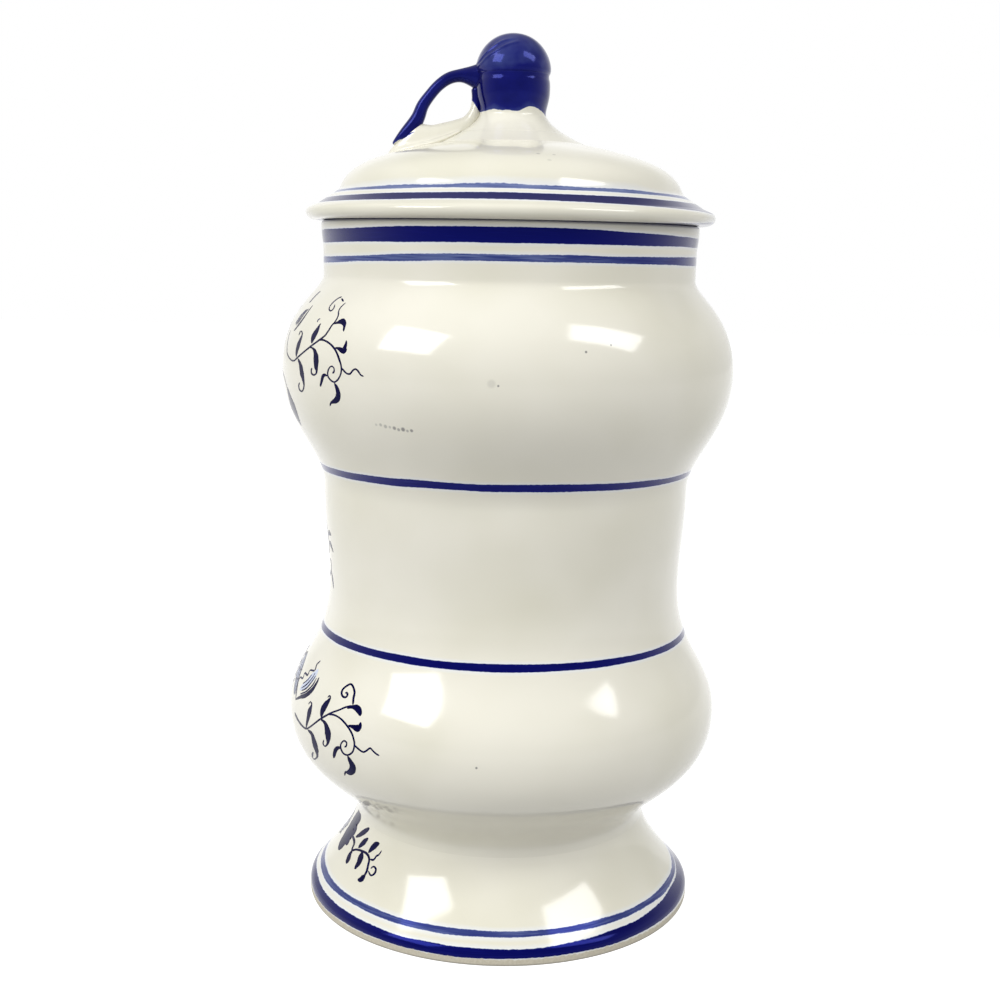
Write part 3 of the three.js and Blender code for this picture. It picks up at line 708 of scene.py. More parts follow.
UPPER_SPRAY = (
    (0.95, (
        (15.2, 203.5, 0.5), (15.9, 200.5, 0.6), (18.2, 196.7, 0.6), (20.6, 195.3, 0.5), (23.5, 194.4, 0.4),
        (26.1, 194.3, 0.4), (28, 195.3, 0.6), (31.7, 197.6, 0.6), (34.5, 199.5, 0.6), (37, 201.2, 0.6),
        (38.5, 202.3, 0.6), (40, 203.5, 0.7), (40.8, 205.1, 0.7), (41.3, 206.8, 0.7), (41.8, 207.6, 0.7),
        (42.1, 208.6, 0.6), (42, 210, 0.5), (41.2, 211.2, 0.4), (41, 212.3, 0.5), (41.4, 213.2, 0.4),
        (41.9, 214, 0.3),
    )),
    (0.9, (
        (37.5, 213.2, 0.4), (38.1, 212.3, 0.5), (38, 211.5, 0.6), (37.3, 211.2, 0.4), (36.2, 211.7, 0.4),
        (35.7, 212.5, 0.5), (35.8, 213.5, 0.6), (36.4, 214.5, 0.6), (37.2, 215.3, 0.5), (38.3, 215.7, 0.5),
    )),
    (0.9, ((38.7, 215.2, 0.3), (39.6, 214.8, 0.5), (40.6, 214.3, 0.3))),
    (1, (
        (41.8, 207.4, 0.4), (42.9, 207.8, 0.8), (43.8, 208.2, 1.5), (44.9, 208.3, 1.8), (46, 207.6, 1.5),
        (46.4, 206.5, 0.9), (46.7, 205.3, 0.5),
    )),
    (1, (
        (45.1, 200.1, 0.3), (46.3, 200.1, 0.7), (47.5, 199.7, 1.4), (48.4, 199.4, 1.7), (49.1, 199.8, 1.4),
        (49.5, 200.1, 0.4),
    )),
    (1, ((48.3, 199.5, 1.7), (48.7, 200.7, 1.4), (48.8, 201.8, 0.9), (48.6, 202.7, 0.5))),
    (1, (
        (35.1, 200.7, 0.6), (35, 201.6, 1.8), (35, 203, 3), (35.4, 204.2, 2.8), (35.7, 205.5, 1.8),
        (35.8, 206.6, 0.8), (36.1, 207.1, 0.4),
    )),
    (0.7, ((33.9, 207.4, 0.5), (33.8, 208.1, 0.5), (34.5, 208.6, 0.3))),
    (1, (
        (27.6, 195.7, 1), (27.4, 197.5, 2.2), (27.5, 199.2, 3.1), (27.8, 200.5, 2.6), (28.1, 202, 1.7),
        (28, 203.2, 0.7), (26.8, 204, 0.3), (25.9, 203.6, 0.7), (26, 202.6, 0.8),
    )),
    (1, (
        (28.8, 195.2, 0.6), (30.2, 194, 1.4), (31.2, 192.4, 2.6), (31.8, 190.7, 2.8), (32.4, 189.1, 2),
        (32.7, 187.6, 1.1), (32.4, 186.1, 0.7), (31, 184.8, 0.4), (29.6, 185.3, 0.8), (29.5, 186.6, 0.8),
        (30.3, 187.6, 0.4),
    )),
    (1, (
        (34.4, 199.4, 0.3), (36, 199.3, 0.5), (37.3, 198.4, 1.4), (38.1, 197, 2.5), (38.6, 195.4, 2.9),
        (38.8, 193.8, 2.3), (39.1, 192.6, 1.3), (38.9, 191.5, 0.6), (37.9, 190.9, 0.4), (36.8, 191.4, 0.7),
        (36.7, 192.5, 0.7), (37.1, 193, 0.4),
    )),
    (0.95, (
        (37.9, 202, 0.4), (39.8, 202.2, 0.5), (42.2, 201.6, 0.5), (44.3, 200.5, 0.6), (45.9, 199.1, 0.6),
        (47.2, 197.2, 0.7), (48.2, 195.2, 0.6), (48.5, 193.5, 0.6), (48.2, 191.8, 0.5), (47.3, 190.3, 0.5),
        (46.1, 189.5, 0.4), (44.8, 190, 0.5), (43.8, 191.1, 0.5), (43.7, 192.5, 0.6), (44.2, 193.8, 0.4),
        (45.1, 194.4, 0.3), (45.9, 193.8, 0.4), (46, 192.8, 0.6), (45.4, 192.2, 0.4),
    )),
    (0.95, (
        (48.4, 194.4, 0.4), (49.4, 193.3, 0.5), (50.4, 192.6, 0.4), (51.4, 192.6, 0.5), (52.2, 193.7, 0.5),
        (53, 194.2, 0.4), (53.8, 193.7, 0.5), (54.7, 192.5, 0.4), (55.6, 192.2, 0.3),
    )),
    (1, (
        (43.7, 191.2, 0.3), (42.5, 191.4, 0.8), (41.7, 190.7, 1.4), (41.3, 189.4, 1.1), (40.9, 188.3, 0.9),
        (40.5, 187.5, 0.6),
    )),
    (1, (
        (46.1, 189.2, 0.5), (46.8, 188, 1.3), (47.3, 186.6, 2), (47.2, 185.1, 2.2), (46.4, 183.9, 2),
        (45.2, 183.2, 1.2), (44.1, 182.6, 0.6), (43.5, 181.5, 0.4),
    )),
    (1, ((18.2, 184.8, 1), (19.2, 181.6, 5.4), (19.6, 178.6, 8.8), (19.8, 175.2, 6.8), (20.2, 171.8, 1.4))),
    (0.95, ((18.4, 184.4, 0.8), (15.4, 187.6, 0.7), (11, 189.2, 0.6), (7.4, 190.4, 0.5))),
    (1, ((24.4, 212.4, 0.4), (24, 209.6, 1.1), (23.2, 207.2, 1.4), (21.7, 205.2, 1.2), (20, 203.6, 0.5))),
    (0.9, ((23.1, 211.2, 0.4), (21.9, 209.4, 0.9), (21.3, 207.4, 1), (20.1, 205.5, 0.5))),
    (0.85, ((22.2, 211, 0.4), (20.6, 209.1, 0.9), (20, 207.3, 1), (18.9, 205.6, 0.5))),
    (0.8, ((21.2, 210.8, 0.4), (19.4, 208.8, 0.8), (18.7, 207.2, 0.8), (18, 206, 0.4))),
    (0.85, ((21.2, 216.9, 0.8), (19.8, 215.2, 1.3), (19.3, 212.9, 1.4))),
)
LOWER_SPRAY = (
    (0.95, (
        (19.6, 70.8, 1.1), (22.8, 69.9, 1.1), (26.7, 69.2, 0.8), (30, 69.4, 0.5), (33.3, 71.8, 0.5),
        (36.6, 74.9, 0.6), (39.2, 77.2, 0.6), (41.6, 79.1, 0.5), (43.8, 80.5, 0.5), (45.9, 82, 0.5), (48, 83.1, 0.5),
    )),
    (1, (
        (29.7, 69.5, 0.7), (30.5, 72.5, 1.8), (31, 75.6, 2.9), (31.3, 77.3, 1.7), (31.2, 78.4, 0.7),
        (30.1, 78.8, 0.3), (29.5, 77.7, 0.5),
    )),
    (1, (
        (37.6, 75.9, 0.7), (37.3, 78.2, 2.7), (37.8, 80, 2.8), (38.5, 81.7, 1.8), (38.8, 83, 0.7), (38, 83.4, 0.3),
        (37.7, 82.6, 0.4),
    )),
    (1, (
        (30.8, 69.3, 0.5), (33.2, 68.8, 1.8), (34.2, 66.9, 3.3), (34.8, 64.7, 3.8), (34.8, 62.5, 2.1),
        (34.1, 60.7, 0.6), (31.1, 58.6, 0.5), (30.5, 59.4, 0.9), (32.5, 61.9, 0.5),
    )),
    (1, (
        (37.3, 75.5, 0.5), (39.3, 75.1, 1.1), (40.6, 73.6, 2.5), (41.3, 71.9, 3.4), (41.4, 70.2, 2.5),
        (41.1, 68.4, 0.9), (40, 67.1, 0.4), (39.1, 67.6, 0.7), (39.6, 69.2, 0.4),
    )),
    (1, (
        (48.3, 83.3, 0.7), (47.6, 85.3, 0.9), (47.2, 86.9, 0.8), (46, 88.2, 0.7), (44.6, 88.8, 0.6), (43.4, 88, 0.7),
        (42.4, 86.7, 0.8), (42.5, 85.5, 0.8), (43.6, 84.7, 0.6), (44.7, 84.8, 0.6), (45, 85.6, 0.8),
        (44.4, 86.1, 0.6), (43.8, 85.9, 0.4),
    )),
    (1, ((46.6, 81.9, 0.5), (48.1, 82.7, 1), (49.8, 82.9, 2), (51.2, 82.1, 2), (51.9, 80.9, 0.8))),
    (1, ((48.5, 77, 0.4), (50.3, 77.1, 1.2), (51.7, 77, 2.3), (52.5, 77.8, 1.7), (52.5, 79.2, 0.7))),
    (0.95, (
        (40.2, 78, 0.4), (42.4, 78.6, 0.5), (44.5, 78.5, 0.5), (46.6, 77.8, 0.6), (48.7, 76.5, 0.6),
        (50.4, 74.8, 0.7), (51.4, 72.4, 0.7), (51.3, 70.1, 0.6), (50.5, 68.4, 0.5), (48.9, 67.2, 0.5),
        (47.4, 67.4, 0.7), (46.6, 68.8, 0.7), (46.7, 70.3, 0.5), (47.7, 71.7, 0.4), (48.7, 71.5, 0.6),
        (48.7, 70.4, 0.5), (48, 69.6, 0.4),
    )),
    (0.95, (
        (51.4, 71.5, 0.6), (52.8, 70.6, 0.6), (54.4, 70, 0.5), (55.5, 70.8, 0.5), (56.5, 71.9, 0.5),
        (57.3, 71.4, 0.5), (58.3, 70.6, 0.5), (59.4, 70.2, 0.5),
    )),
    (1, ((46.6, 69.1, 0.5), (45.3, 68.4, 1.2), (44.4, 67.2, 1.5), (43.8, 65.7, 1.4), (43.2, 64.1, 0.7))),
    (1, (
        (49, 67.1, 0.5), (49.8, 65.3, 2), (50.4, 63.7, 2.9), (49.9, 62, 2.5), (48.3, 60.5, 1.7), (47.1, 60.3, 0.7),
        (46.1, 58.7, 0.4),
    )),
    (1, (
        (19.2, 75.6, 0.5), (22.9, 77.8, 1.2), (26.2, 79.6, 1.7), (28.6, 82.2, 1.9), (29.3, 84.7, 1.3),
        (29.2, 86.6, 0.5),
    )),
    (0.9, ((21.8, 78.4, 0.3), (25.4, 80.6, 0.6), (27.6, 83.4, 0.7), (28, 86, 0.4))),
    (0.9, ((22, 79.6, 0.3), (25, 81.8, 0.6), (26.4, 84.6, 0.6), (26.8, 86.4, 0.3))),
    (0.85, ((21.2, 80.2, 0.3), (23.8, 82.4, 0.6), (25.4, 85.2, 0.5), (25.6, 87, 0.3))),
    (0.8, ((20.8, 81.6, 0.3), (23, 83.6, 0.5), (24.2, 86, 0.4))),
    (0.03, ((20.2, 79.4, 1), (23.3, 82.4, 3.6), (25.6, 85.6, 4), (26.4, 88.4, 1))),
    (0.85, (
        (24.9, 90.8, 0.5), (23.8, 89.2, 0.7), (24.4, 87.4, 0.6), (21.2, 86.4, 0.5), (21.4, 84.8, 0.7),
        (18.2, 84.5, 0.5), (19, 82.9, 0.6), (16, 82.1, 0.5), (16.3, 80.1, 0.4),
    )),
    (0.9, ((16.3, 80.5, 0.4), (17.3, 78.7, 0.9), (18.3, 77, 0.9), (19.1, 75.1, 0.4))),
    (0.12, ((8.9, 88.2, 2.4), (9.1, 84.9, 7), (11.8, 82.3, 6.6), (14.2, 79.5, 4.6), (16.8, 76.5, 1.4))),
    (1, ((7.6, 88.6, 0.5), (11.5, 85.6, 1.2), (14, 82.6, 1.3), (16, 79.4, 1), (17, 76.4, 0.5))),
    (1, ((7, 88.4, 0.4), (9.2, 85, 1), (11.8, 82.2, 1.1), (14.2, 79.2, 1), (16.4, 76.2, 0.4))),
    (1, ((6.4, 88.2, 0.4), (6.8, 84.4, 0.9), (9.4, 81.6, 1), (12.4, 78.8, 0.9), (15.8, 76, 0.4))),
    (0.9, ((5.6, 84.2, 0.3), (8.4, 83.2, 0.5), (11.6, 83.4, 0.5), (14.4, 84.2, 0.3))),
    (0.9, ((8, 80.8, 0.3), (10.8, 80.2, 0.5), (14, 80.8, 0.5), (16.4, 81.8, 0.3))),
)
FOOT_SPRAY = (
    (1, ((16.4, 30.2, 3), (13.8, 27.8, 4.6), (11.6, 23.8, 9), (11, 20.4, 10.5), (12.2, 17.6, 8), (13.8, 15.5, 2))),
    (0.95, (
        (17, 30.2, 1.6), (18.1, 28.7, 1.9), (14.6, 25.5, 3.7), (16.6, 23.9, 3.5), (14.7, 20.4, 4.3),
        (17.4, 18.8, 1.5),
    )),
    (0.95, (
        (17.3, 22.1, 0.9), (21.8, 21.3, 1.2), (23.1, 19.2, 0.9), (26.2, 20.4, 0.7), (30, 21.2, 0.7),
        (33.6, 21.5, 0.8), (36.2, 20.7, 0.9), (37.3, 19, 1), (38.2, 17.2, 1), (38.2, 15.7, 1),
    )),
    (0.95, (
        (38.8, 17.6, 0.5), (41.1, 16.9, 0.5), (42.3, 17.8, 0.8), (42, 19.1, 0.7), (40.3, 19.4, 0.5),
        (39.4, 18.5, 0.5),
    )),
    (1, ((20.5, 22.8, 0.8), (24.3, 25.3, 2), (27, 27.2, 1.8), (29.6, 29, 0.7))),
    (1, ((26.4, 21.2, 0.9), (27.7, 22.8, 2.3), (29.1, 24.2, 2.1), (30.7, 25.8, 0.7))),
    (1, ((34.1, 22, 0.8), (35.3, 23.9, 2.3), (36.8, 25.4, 2.2), (38.8, 26.5, 0.7))),
    (1, ((23.7, 19.3, 1.2), (23.6, 17.7, 2.3), (24.6, 16.4, 2.6), (25.3, 15.3, 1.3))),
    (1, ((30.1, 21.1, 0.9), (31.1, 19.6, 3), (31.8, 18, 2.7), (31.7, 16.6, 1.7), (32.1, 15.9, 0.9))),
    (0.9, ((36.7, 20.7, 0.5), (38.8, 21.1, 0.7), (39.4, 22.5, 0.7), (40.4, 23.2, 0.5), (41.1, 24.8, 0.5))),
    (1, ((38.5, 16.3, 0.9), (38, 15.1, 2.5), (37.2, 14.4, 1.7), (36.1, 14.2, 0.7))),
)
SCROLL = (
    (0.95, (
        (-4, 128, 0.6), (1, 134.5, 1.2), (8, 136, 1.3), (13, 131.5, 1.1), (12, 126.5, 0.9), (7.5, 125.5, 0.8),
        (5.5, 129, 0.7), (8.5, 131, 0.5),
    )),
    (0.9, ((-4, 126, 0.5), (2, 120, 1), (9, 117.5, 1.1), (14.5, 119.5, 0.9), (15.5, 123, 0.7), (12.5, 123.6, 0.5))),
    (1, ((12.8, 131.8, 0.4), (16, 133.6, 1.8), (19.2, 133.4, 0.5))),
    (1, ((13.2, 129.8, 0.4), (17, 129.6, 1.8), (20.4, 127.6, 0.5))),
    (1, ((14.8, 119.8, 0.4), (17.2, 117.4, 1.8), (19, 114.4, 0.5))),
)

# Where the middle of the decorated front lies, in degrees

FRONT = -4.5

# Lamps and camera, in metres, degrees and millimetres of lens

LAMP_TARGET = Vector((0, 0, 0.15))
LAMP_DISTANCE = 3.0
BRIGHT_SIDE = Vector((0.75, -0.65, 0.1))
CAMERA_PLACE = (0.514, 0, 0.2304)
CAMERA_TURN = (-0.21, 9.62, 1.06)
CAMERA_LENS = 52.38


def mirrored(strokes):
    """The strokes again on the other side of the jar's front, each a little off, as a hand repeats them."""
    hand = random.Random(len(strokes))
    made = list(strokes)
    for load, path in strokes:
        slip = hand.uniform(-0.5, 0.5)
        sink = hand.uniform(-0.5, 0.5)
        made.append((load, tuple((2 * FRONT - a + slip, h + sink, w) for a, h, w in path)))
    return made


def daisy(centre, height, reach, around, petals=11):
    """A feathered flower: petals of fine hatching round a ring of dabs. Around is the skin's radius in mm."""
    made = []
    hand = random.Random(round(height))

    def spot(turn, share, width):
        angle, length = turn * 2 * math.pi, share * reach
        return (centre + math.degrees(length * math.sin(angle) / around), height + length * math.cos(angle), width)

    def line(turn, lean, places):
        return tuple(spot(turn + lean * part, share, width) for part, share, width in places)

    for k in range(petals):
        turn = k / petals
        for feather in (-2, -1, 0, 1, 2):
            tip = 0.98 - 0.05 * abs(feather) + hand.uniform(-0.03, 0.03)
            path = line(turn, feather * 0.17 / petals, ((0.5, 0.3, 0.25), (1.4, 0.65, 0.8), (2.0, tip, 0.3)))
            made.append((0.55 + hand.uniform(0.0, 0.25), path))
        for way in (-1, 1):
            side = ((0.5, 0.26, 0.3), (1, 0.6, 0.5), (0.9, 0.88, 0.55), (0.3, 1.02, 0.4))
            made.append((0.95, line(turn, 0.42 / petals * way, side)))
        made.append((1.0, line(turn + 0.5 / petals, 0, ((0, 0.98, 0.6), (0, 1.05, 1.3), (0, 1.12, 0.7)))))
    for k in range(9):
        made.append((1.0, line(k / 9, 0.01, ((0, 0.13, 0.7), (1, 0.18, 1.1), (2, 0.22, 0.6)))))
    return made


def worn_spots(marks, place):
    """Marks of wear as points on a skin, each with its reach and darkness."""
    spots = []
    for degrees, along, reach, dark in marks:
        r, height = place(along * MM)
        turn = math.radians(degrees)
        spots.append(((r * math.sin(turn), -r * math.cos(turn), height), reach * MM, dark))
    return spots


# Operators


class COOKIEJAR_OT_foot(bpy.types.Operator):
    """Turn the hollow flared foot"""

    bl_idname = "cookiejar.foot"
    bl_label = "Pedestal foot"

    def execute(self, context):
        s = context.scene.jar_sizes
        skin = foot_skin()
        ring = s.foot_radius - 6.0 * MM
        hollow = [p for p in offset(skin[14:], -s.foot_wall) if p[0] < ring - 0.4 * MM]
        hollow[-1] = (hollow[-1][0], s.foot_height)
        edge = [(ring + 0.8 * MM, 0.0), (ring + 0.2 * MM, 0.2 * MM), (ring, 0.8 * MM)]
        piece = turned([*skin, *reversed(hollow), *reversed(edge), skin[0]], s.sides)
        mark_outside(piece, skin)
        material = thrown_glaze("Lead glaze on thrown earthenware, foot", FOOT_BANDS, bare_edge=True)
        finish_piece(piece, "glazed_foot", "jar", "cream_glaze", material, "pedestal_foot")
        return {"FINISHED"}


class COOKIEJAR_OT_body(bpy.types.Operator):
    """Throw the double-bulb jar with its waist, collar and rim"""

    bl_idname = "cookiejar.body"
    bl_label = "Jar body"

    def execute(self, context):
        s = context.scene.jar_sizes
        skin = body_skin()
        seat = seat_height()
        floor = s.foot_height + s.floor
        mouth = s.rim - s.wall
        inside = [p for p in offset(skin[::2], -s.wall) if floor + 7 * MM < p[1] < seat - 2.5 * MM]
        inside.append((mouth, seat - 1.3 * MM))
        inside.reverse()
        corner = (inside[-1][0] - 3.5 * MM, floor)
        bend(inside, corner, corner, (inside[-1][0] - 14 * MM, floor), 8)
        bend(skin, (s.rim, seat - 0.5 * MM), (s.rim - 0.5 * MM, seat), (s.rim - 1.3 * MM, seat), 5)
        skin.append((mouth + 1.3 * MM, seat))
        bend(skin, (mouth + 0.5 * MM, seat), (mouth, seat - 0.5 * MM), inside[0], 5)
        piece = turned([(0, s.foot_height), *skin, *inside[1:], (0, floor)], s.sides)
        mark_outside(piece, body_skin())
        wear = worn_spots(BODY_WEAR, lambda height: (point_on(skin, height)[0], height))
        material = thrown_glaze("Lead glaze on thrown earthenware, jar", BODY_BANDS, wear=wear)
        finish_piece(piece, "glazed_jar", "jar", "cream_glaze", material, "jar_body")
        return {"FINISHED"}


class COOKIEJAR_OT_lid(bpy.types.Operator):
    """Turn the domed lid, its locating ring and the flare up to the knob"""

    bl_idname = "cookiejar.lid"
    bl_label = "Lid, ring and flare"

    def execute(self, context):
        s, lid = context.scene.jar_sizes, context.scene.lid_sizes
        seat = seat_height()
        outer = s.rim - s.wall - lid.clearance
        bore = outer - lid.ring_wall
        skin = dome_skin()
        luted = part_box("knob_socle")[0].z
        joint = next(i for i, p in enumerate(skin) if p[1] >= luted)
        under = [p for p in offset(skin[24:joint], -lid.wall) if p[0] < bore]
        outline = [(0, under[-1][1]), *reversed(under), (bore, under[0][1]), (bore, seat), *skin[: joint + 1]]
        dome = turned([*outline, (0, skin[joint][1])], s.sides)
        mark_outside(dome, skin)
        wear = worn_spots(LID_WEAR, lambda r: (r, height_on(skin, r)))
        material = thrown_glaze("Lead glaze on thrown earthenware, lid", LID_BANDS, across="radius", wear=wear)
        finish_piece(dome, "glazed_lid", "lid", "cream_glaze", material, "lid_dome")

        socle = turned([(0, skin[joint][1]), *skin[joint:], (0, skin[-1][1])], s.sides)
        plain = thrown_glaze("Lead glaze on turned earthenware, flare")
        finish_piece(socle, "glazed_socle", "lid", "cream_glaze", plain, "knob_socle")

        low = seat - lid.ring_depth
        ring = [(bore, seat), (bore, low + 1.4 * MM)]
        bend(ring, (bore, low + 0.4 * MM), (bore + 0.6 * MM, low), (bore + 1.6 * MM, low), 5)
        ring.append((outer - 1.6 * MM, low))
        bend(ring, (outer - 0.6 * MM, low), (outer, low + 0.4 * MM), (outer, low + 1.4 * MM), 5)
        flange = turned([*ring, (outer, seat), (bore, seat)], s.sides)
        finish_piece(flange, "glazed_ring", "lid_ring", "cream_glaze", plain, "lid_flange")
        return {"FINISHED"}


def raise_sepals(bud, skin, base):
    """Raises the sepals' edges on the fruit: each steps up at its edge and thins out above it."""
    steps = 200
    edges = []
    for path in SEPALS:
        for way in (-1, 1):
            line = []
            for angle, height in spline(path, steps):
                r = point_on(skin, height * MM)[0]
                turn = math.radians(angle) * way
                line.append(Vector((r * math.sin(turn), -r * math.cos(turn), height * MM)))
            for i, p in enumerate(line):
                along = (line[min(i + 1, steps)] - line[max(i - 1, 0)]).normalized()
                outward = Vector((p.x, p.y, (p.z - base) * 0.6)).normalized()
                edges.append((p, along.cross(outward) * -way, min(1.0, (steps - i) / 60, i / 20 + 0.3)))
    tree = kdtree.KDTree(len(edges))
    for i, edge in enumerate(edges):
        tree.insert(edge[0], i)
    tree.balance()
    ridge = bpy.context.scene.knob_sizes.ridge
    for vertex in bud.data.vertices:
        if vertex.co.z > base + 13.5 * MM:
            lift = 0.0
            for place, i, gap in tree.find_range(vertex.co, 3.0 * MM):
                away = (vertex.co - place).dot(edges[i][1])
                if gap * gap - away * away < (0.25 * MM) ** 2:
                    leaf = 1 / (1 + math.exp(-away / (0.09 * MM))) * math.exp(-max(away, 0.0) / (1.3 * MM))
                    lift = max(lift, leaf * edges[i][2])
            outward = Vector((vertex.co.x, vertex.co.y, 0.3 * (vertex.co.z - base))).normalized()
            vertex.co += outward * lift * ridge


class COOKIEJAR_OT_bud(bpy.types.Operator):
    """Turn the fruit knob and raise the sepal lines over it"""

    bl_idname = "cookiejar.bud"
    bl_label = "Fruit knob"

    def execute(self, context):
        skin = bud_skin()
        base = skin[0][1]
        bud = turned([(0, base), *skin], 256, crease=60)
        raise_sepals(bud, skin, base)

        # The blue stops 1.4 mm above the neck, higher to the right and down over the edge beyond
        def blue_edge(p):
            side = p.y / MM
            return (p.z - base) / MM - 1.4 - 1.0 * math.exp(-(((side - 6.2) / 3.0) ** 2)) + 0.8 * max(0.0, side - 8.5)

        mark_vertices(bud, "paint_edge", blue_edge)
        finish_piece(bud, "glazed_bud", "lid", "cobalt_glaze", knob_glaze(), "knob_bud")
        return {"FINISHED"}


def knob_glaze():
    name = "Lead glaze over cobalt, knob"
    return bpy.data.materials.get(name) or thrown_glaze(name, marked=True)


class COOKIEJAR_OT_twig(bpy.types.Operator):
    """Draw out the arched twig and the saddle under it"""

    bl_idname = "cookiejar.twig"
    bl_label = "Twig and saddle"

    def execute(self, context):
        unit = context.scene.knob_sizes.twig_reach / 41.0
        neck = neck_height()
        skin = dome_skin()

        def stations(free, laid):
            made = [(-r * unit, neck + z * unit, t * unit, w * unit) for r, z, t, w in free]
            for r, z, t, w in laid:
                made.append((-r * unit, height_on(skin, r * unit) + z * unit, t * unit, w * unit))
            return made

        twig = drawn_out(stations(ARCH, DESCENT), 30)

        # Blue follows the twig's back to its tip, and the clay under it stays white
        def edge(p):
            up = (p.z - neck) / MM
            return min((-33.0 + (up + 5.6) * 1.37 - p.y / MM) * 0.6, 4.0) if up < -1.8 else 4.0

        mark_vertices(twig, "paint_edge", edge)
        finish_piece(twig, "glazed_twig", "lid", "cobalt_glaze", knob_glaze(), "twig_stem")

        low = drawn_out(stations((), MOUND), 24)
        saddle = drawn_out(stations((), SPREAD) + stations(CLIMB, ()), 28)
        low.select_set(True)
        bpy.ops.object.join()
        clay = saddle.modifiers.new("One body of clay", "REMESH")
        clay.mode = "VOXEL"
        clay.voxel_size = 0.42 * MM
        clay.use_smooth_shade = True
        bpy.ops.object.modifier_apply(modifier=clay.name)
        smoothed = saddle.modifiers.new("Wiped with a wet finger", "SMOOTH")
        smoothed.factor = 0.5
        smoothed.iterations = 14
        bpy.ops.object.modifier_apply(modifier=smoothed.name)

        # On the saddle's climb the blue runs further down towards the knob
        def climbing(p):
            return (p.z - neck + 1.25 * p.y) / MM + 12.6 if p.z > neck - 6 * MM else edge(p)

        mark_vertices(saddle, "paint_edge", climbing)
        finish_piece(saddle, "glazed_saddle", "lid", "cream_glaze", knob_glaze(), "twig_saddle")
        return {"FINISHED"}


class COOKIEJAR_OT_brushwork(bpy.types.Operator):
    """Brush the flower sprays on the bulbs and the foot, and the scroll on the waist"""

    bl_idname = "cookiejar.brushwork"
    bl_label = "Brushwork"

    def execute(self, context):
        paint = brushwork_glaze()
        body, foot = body_skin(), foot_skin()
        pieces = (
            ("upper_spray", body, mirrored(UPPER_SPRAY) + daisy(FRONT, 199.0, 17.0, 77.0)),
            ("waist_scroll", body, mirrored(SCROLL)),
            ("lower_spray", body, mirrored(LOWER_SPRAY) + daisy(FRONT, 76.0, 16.0, 75.0)),
            ("foot_spray", foot, mirrored(FOOT_SPRAY) + daisy(FRONT, 21.5, 6.4, 56.0, 9)),
        )
        for name, skin, strokes in pieces:
            finish_piece(brushed(strokes, skin), name, "jar", "cobalt_glaze", paint)
        return {"FINISHED"}


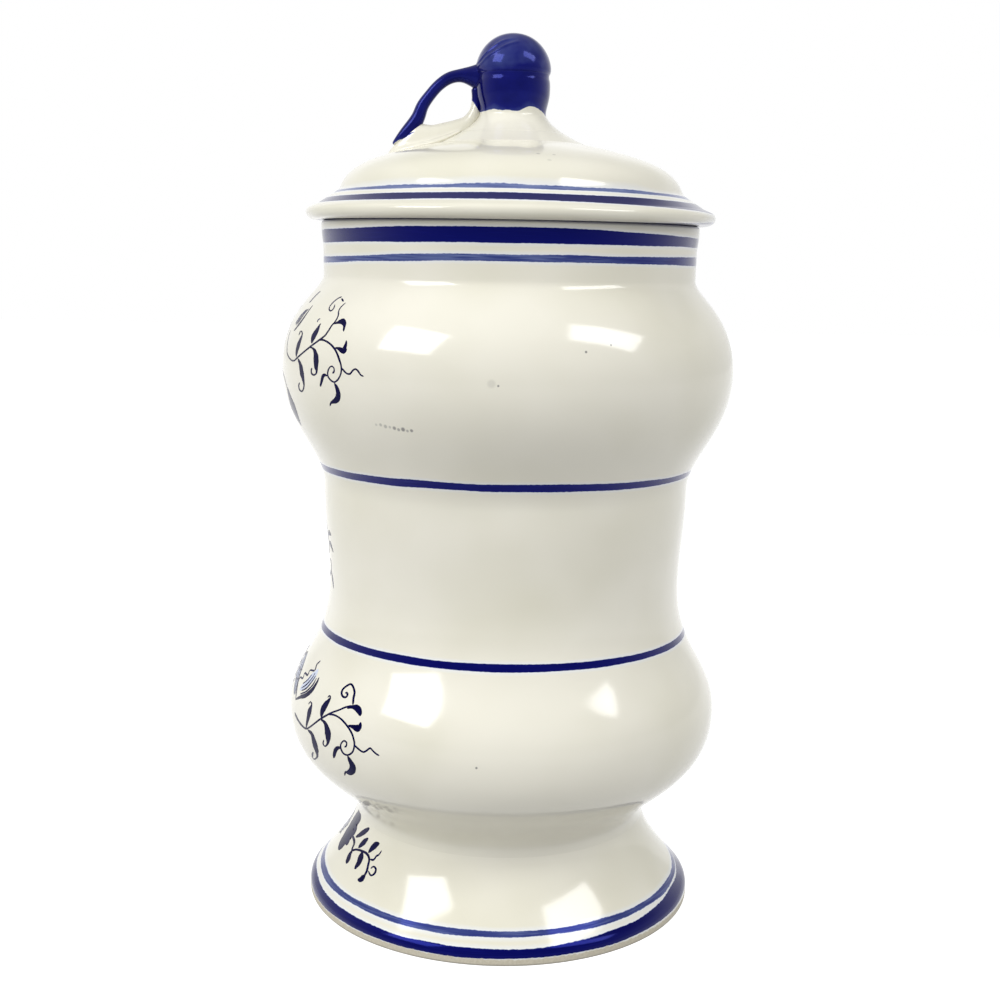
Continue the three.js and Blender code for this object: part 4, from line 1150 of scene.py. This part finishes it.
class COOKIEJAR_OT_stage(bpy.types.Operator):
    """Set the pale floor, two softboxes, the room light and the camera"""

    bl_idname = "cookiejar.stage"
    bl_label = "Studio"

    def execute(self, context):
        scene, studio = context.scene, context.scene.studio
        start_piece()
        bpy.ops.mesh.primitive_plane_add(size=8, location=(0, 0, 0))
        floor = bpy.context.object
        floor.name = "paper_sweep"
        floor.data.materials.append(floor_finish())

        for name, power, azimuth, rise, roll, size_x, size_y in (
            ("left_softbox", studio.left, -55, 35.5, 0, 1.5, 1.22),
            ("right_softbox", studio.right, 60, 42, -40, 1.7, 0.9),
        ):
            across, up = math.radians(azimuth), math.radians(rise)
            way = Vector((math.cos(up) * math.cos(across), math.cos(up) * math.sin(across), math.sin(up)))
            bpy.ops.object.light_add(type="AREA", location=LAMP_TARGET + way * LAMP_DISTANCE)
            lamp = bpy.context.object
            lamp.name = name
            lamp.rotation_euler = (way.to_track_quat("Z", "Y") @ Quaternion((0, 0, 1), math.radians(roll))).to_euler()
            lamp.data.shape = "RECTANGLE"
            lamp.data.size = size_x
            lamp.data.size_y = size_y
            lamp.data.energy = power

        world = bpy.data.worlds.new("White studio")
        world.use_nodes = True
        world.node_tree.nodes.clear()
        tree = world.node_tree
        way = add(tree, "TexCoord").outputs["Generated"]
        facing = add(tree, "VectorMath", {0: way, 1: BRIGHT_SIDE}, operation="DOT_PRODUCT").outputs[1]
        inputs = {"Value": facing, "From Min": -1.0, "To Min": 0.25 * studio.room, "To Max": 1.9 * studio.room}
        room = add(tree, "MapRange", inputs)
        # The room is brighter overhead, and the white backdrop ends 20 to 40 degrees up
        upward = add(tree, "SeparateXYZ", {0: way}).outputs[2]
        overhead = add(tree, "MapRange", {"Value": upward, "From Max": 0.8, "To Min": 0.5, "To Max": 1.5})
        room = add(tree, "Math", {0: room, 1: overhead}, operation="MULTIPLY")
        low = add(tree, "MapRange", {"Value": upward, "From Min": 0.34, "From Max": 0.64, "To Min": 1.0, "To Max": 0.0})
        seen = add(tree, "Math", {0: backdrop_rays(tree), 1: low}, operation="MULTIPLY")
        strength = add(tree, "Mix", {0: seen, 2: room, 3: 1.0})
        light = add(tree, "Background", {0: (1, 1, 1, 1), 1: strength})
        add(tree, "OutputWorld", {0: light})
        scene.world = world

        yaw, pitch, roll = (math.radians(v) for v in CAMERA_TURN)
        forward = Vector((-math.cos(yaw) * math.cos(pitch), math.sin(yaw) * math.cos(pitch), -math.sin(pitch)))
        level = Vector((math.sin(yaw), math.cos(yaw), 0))
        upright = level.cross(forward)
        right = level * math.cos(roll) + upright * math.sin(roll)
        up = upright * math.cos(roll) - level * math.sin(roll)
        turn = Matrix((right, up, -forward)).transposed().to_4x4()
        bpy.ops.object.camera_add()
        camera = bpy.context.object
        camera.name = "camera"
        camera.matrix_world = Matrix.Translation(CAMERA_PLACE) @ turn
        camera.data.lens = CAMERA_LENS
        camera.data.sensor_width = 36
        camera.data.clip_start = 0.02
        scene.camera = camera
        scene.view_settings.view_transform = "Standard"
        return {"FINISHED"}


class COOKIEJAR_PT_panel(bpy.types.Panel):
    """The jar's sizes and the steps that build it"""

    bl_label = "Cookie jar"
    bl_space_type = "VIEW_3D"
    bl_region_type = "UI"
    bl_category = "Cookie jar"

    def draw(self, context):
        for heading, group in (
            ("Jar", context.scene.jar_sizes),
            ("Lid", context.scene.lid_sizes),
            ("Knob", context.scene.knob_sizes),
            ("Glazes", context.scene.glazes),
            ("Studio", context.scene.studio),
        ):
            box = self.layout.box()
            box.label(text=heading)
            for key in group.__annotations__:
                box.prop(group, key)
        for step in STEPS:
            self.layout.operator(step.bl_idname)


GROUPS = {"jar_sizes": JarSizes, "lid_sizes": LidSizes, "knob_sizes": KnobSizes, "glazes": Glazes, "studio": Studio}
STEPS = (
    COOKIEJAR_OT_foot,
    COOKIEJAR_OT_body,
    COOKIEJAR_OT_lid,
    COOKIEJAR_OT_bud,
    COOKIEJAR_OT_twig,
    COOKIEJAR_OT_brushwork,
    COOKIEJAR_OT_stage,
)


def register():
    for cls in (*GROUPS.values(), *STEPS, COOKIEJAR_PT_panel):
        bpy.utils.register_class(cls)
    for name, group in GROUPS.items():
        setattr(bpy.types.Scene, name, PointerProperty(type=group))


def unregister():
    for name in GROUPS:
        delattr(bpy.types.Scene, name)
    for cls in reversed((*GROUPS.values(), *STEPS, COOKIEJAR_PT_panel)):
        bpy.utils.unregister_class(cls)


def main():
    register()
    bpy.ops.cookiejar.foot()
    bpy.ops.cookiejar.body()
    bpy.ops.cookiejar.lid()
    bpy.ops.cookiejar.bud()
    bpy.ops.cookiejar.twig()
    bpy.ops.cookiejar.brushwork()
    bpy.ops.cookiejar.stage()


if __name__ == "__main__":
    main()
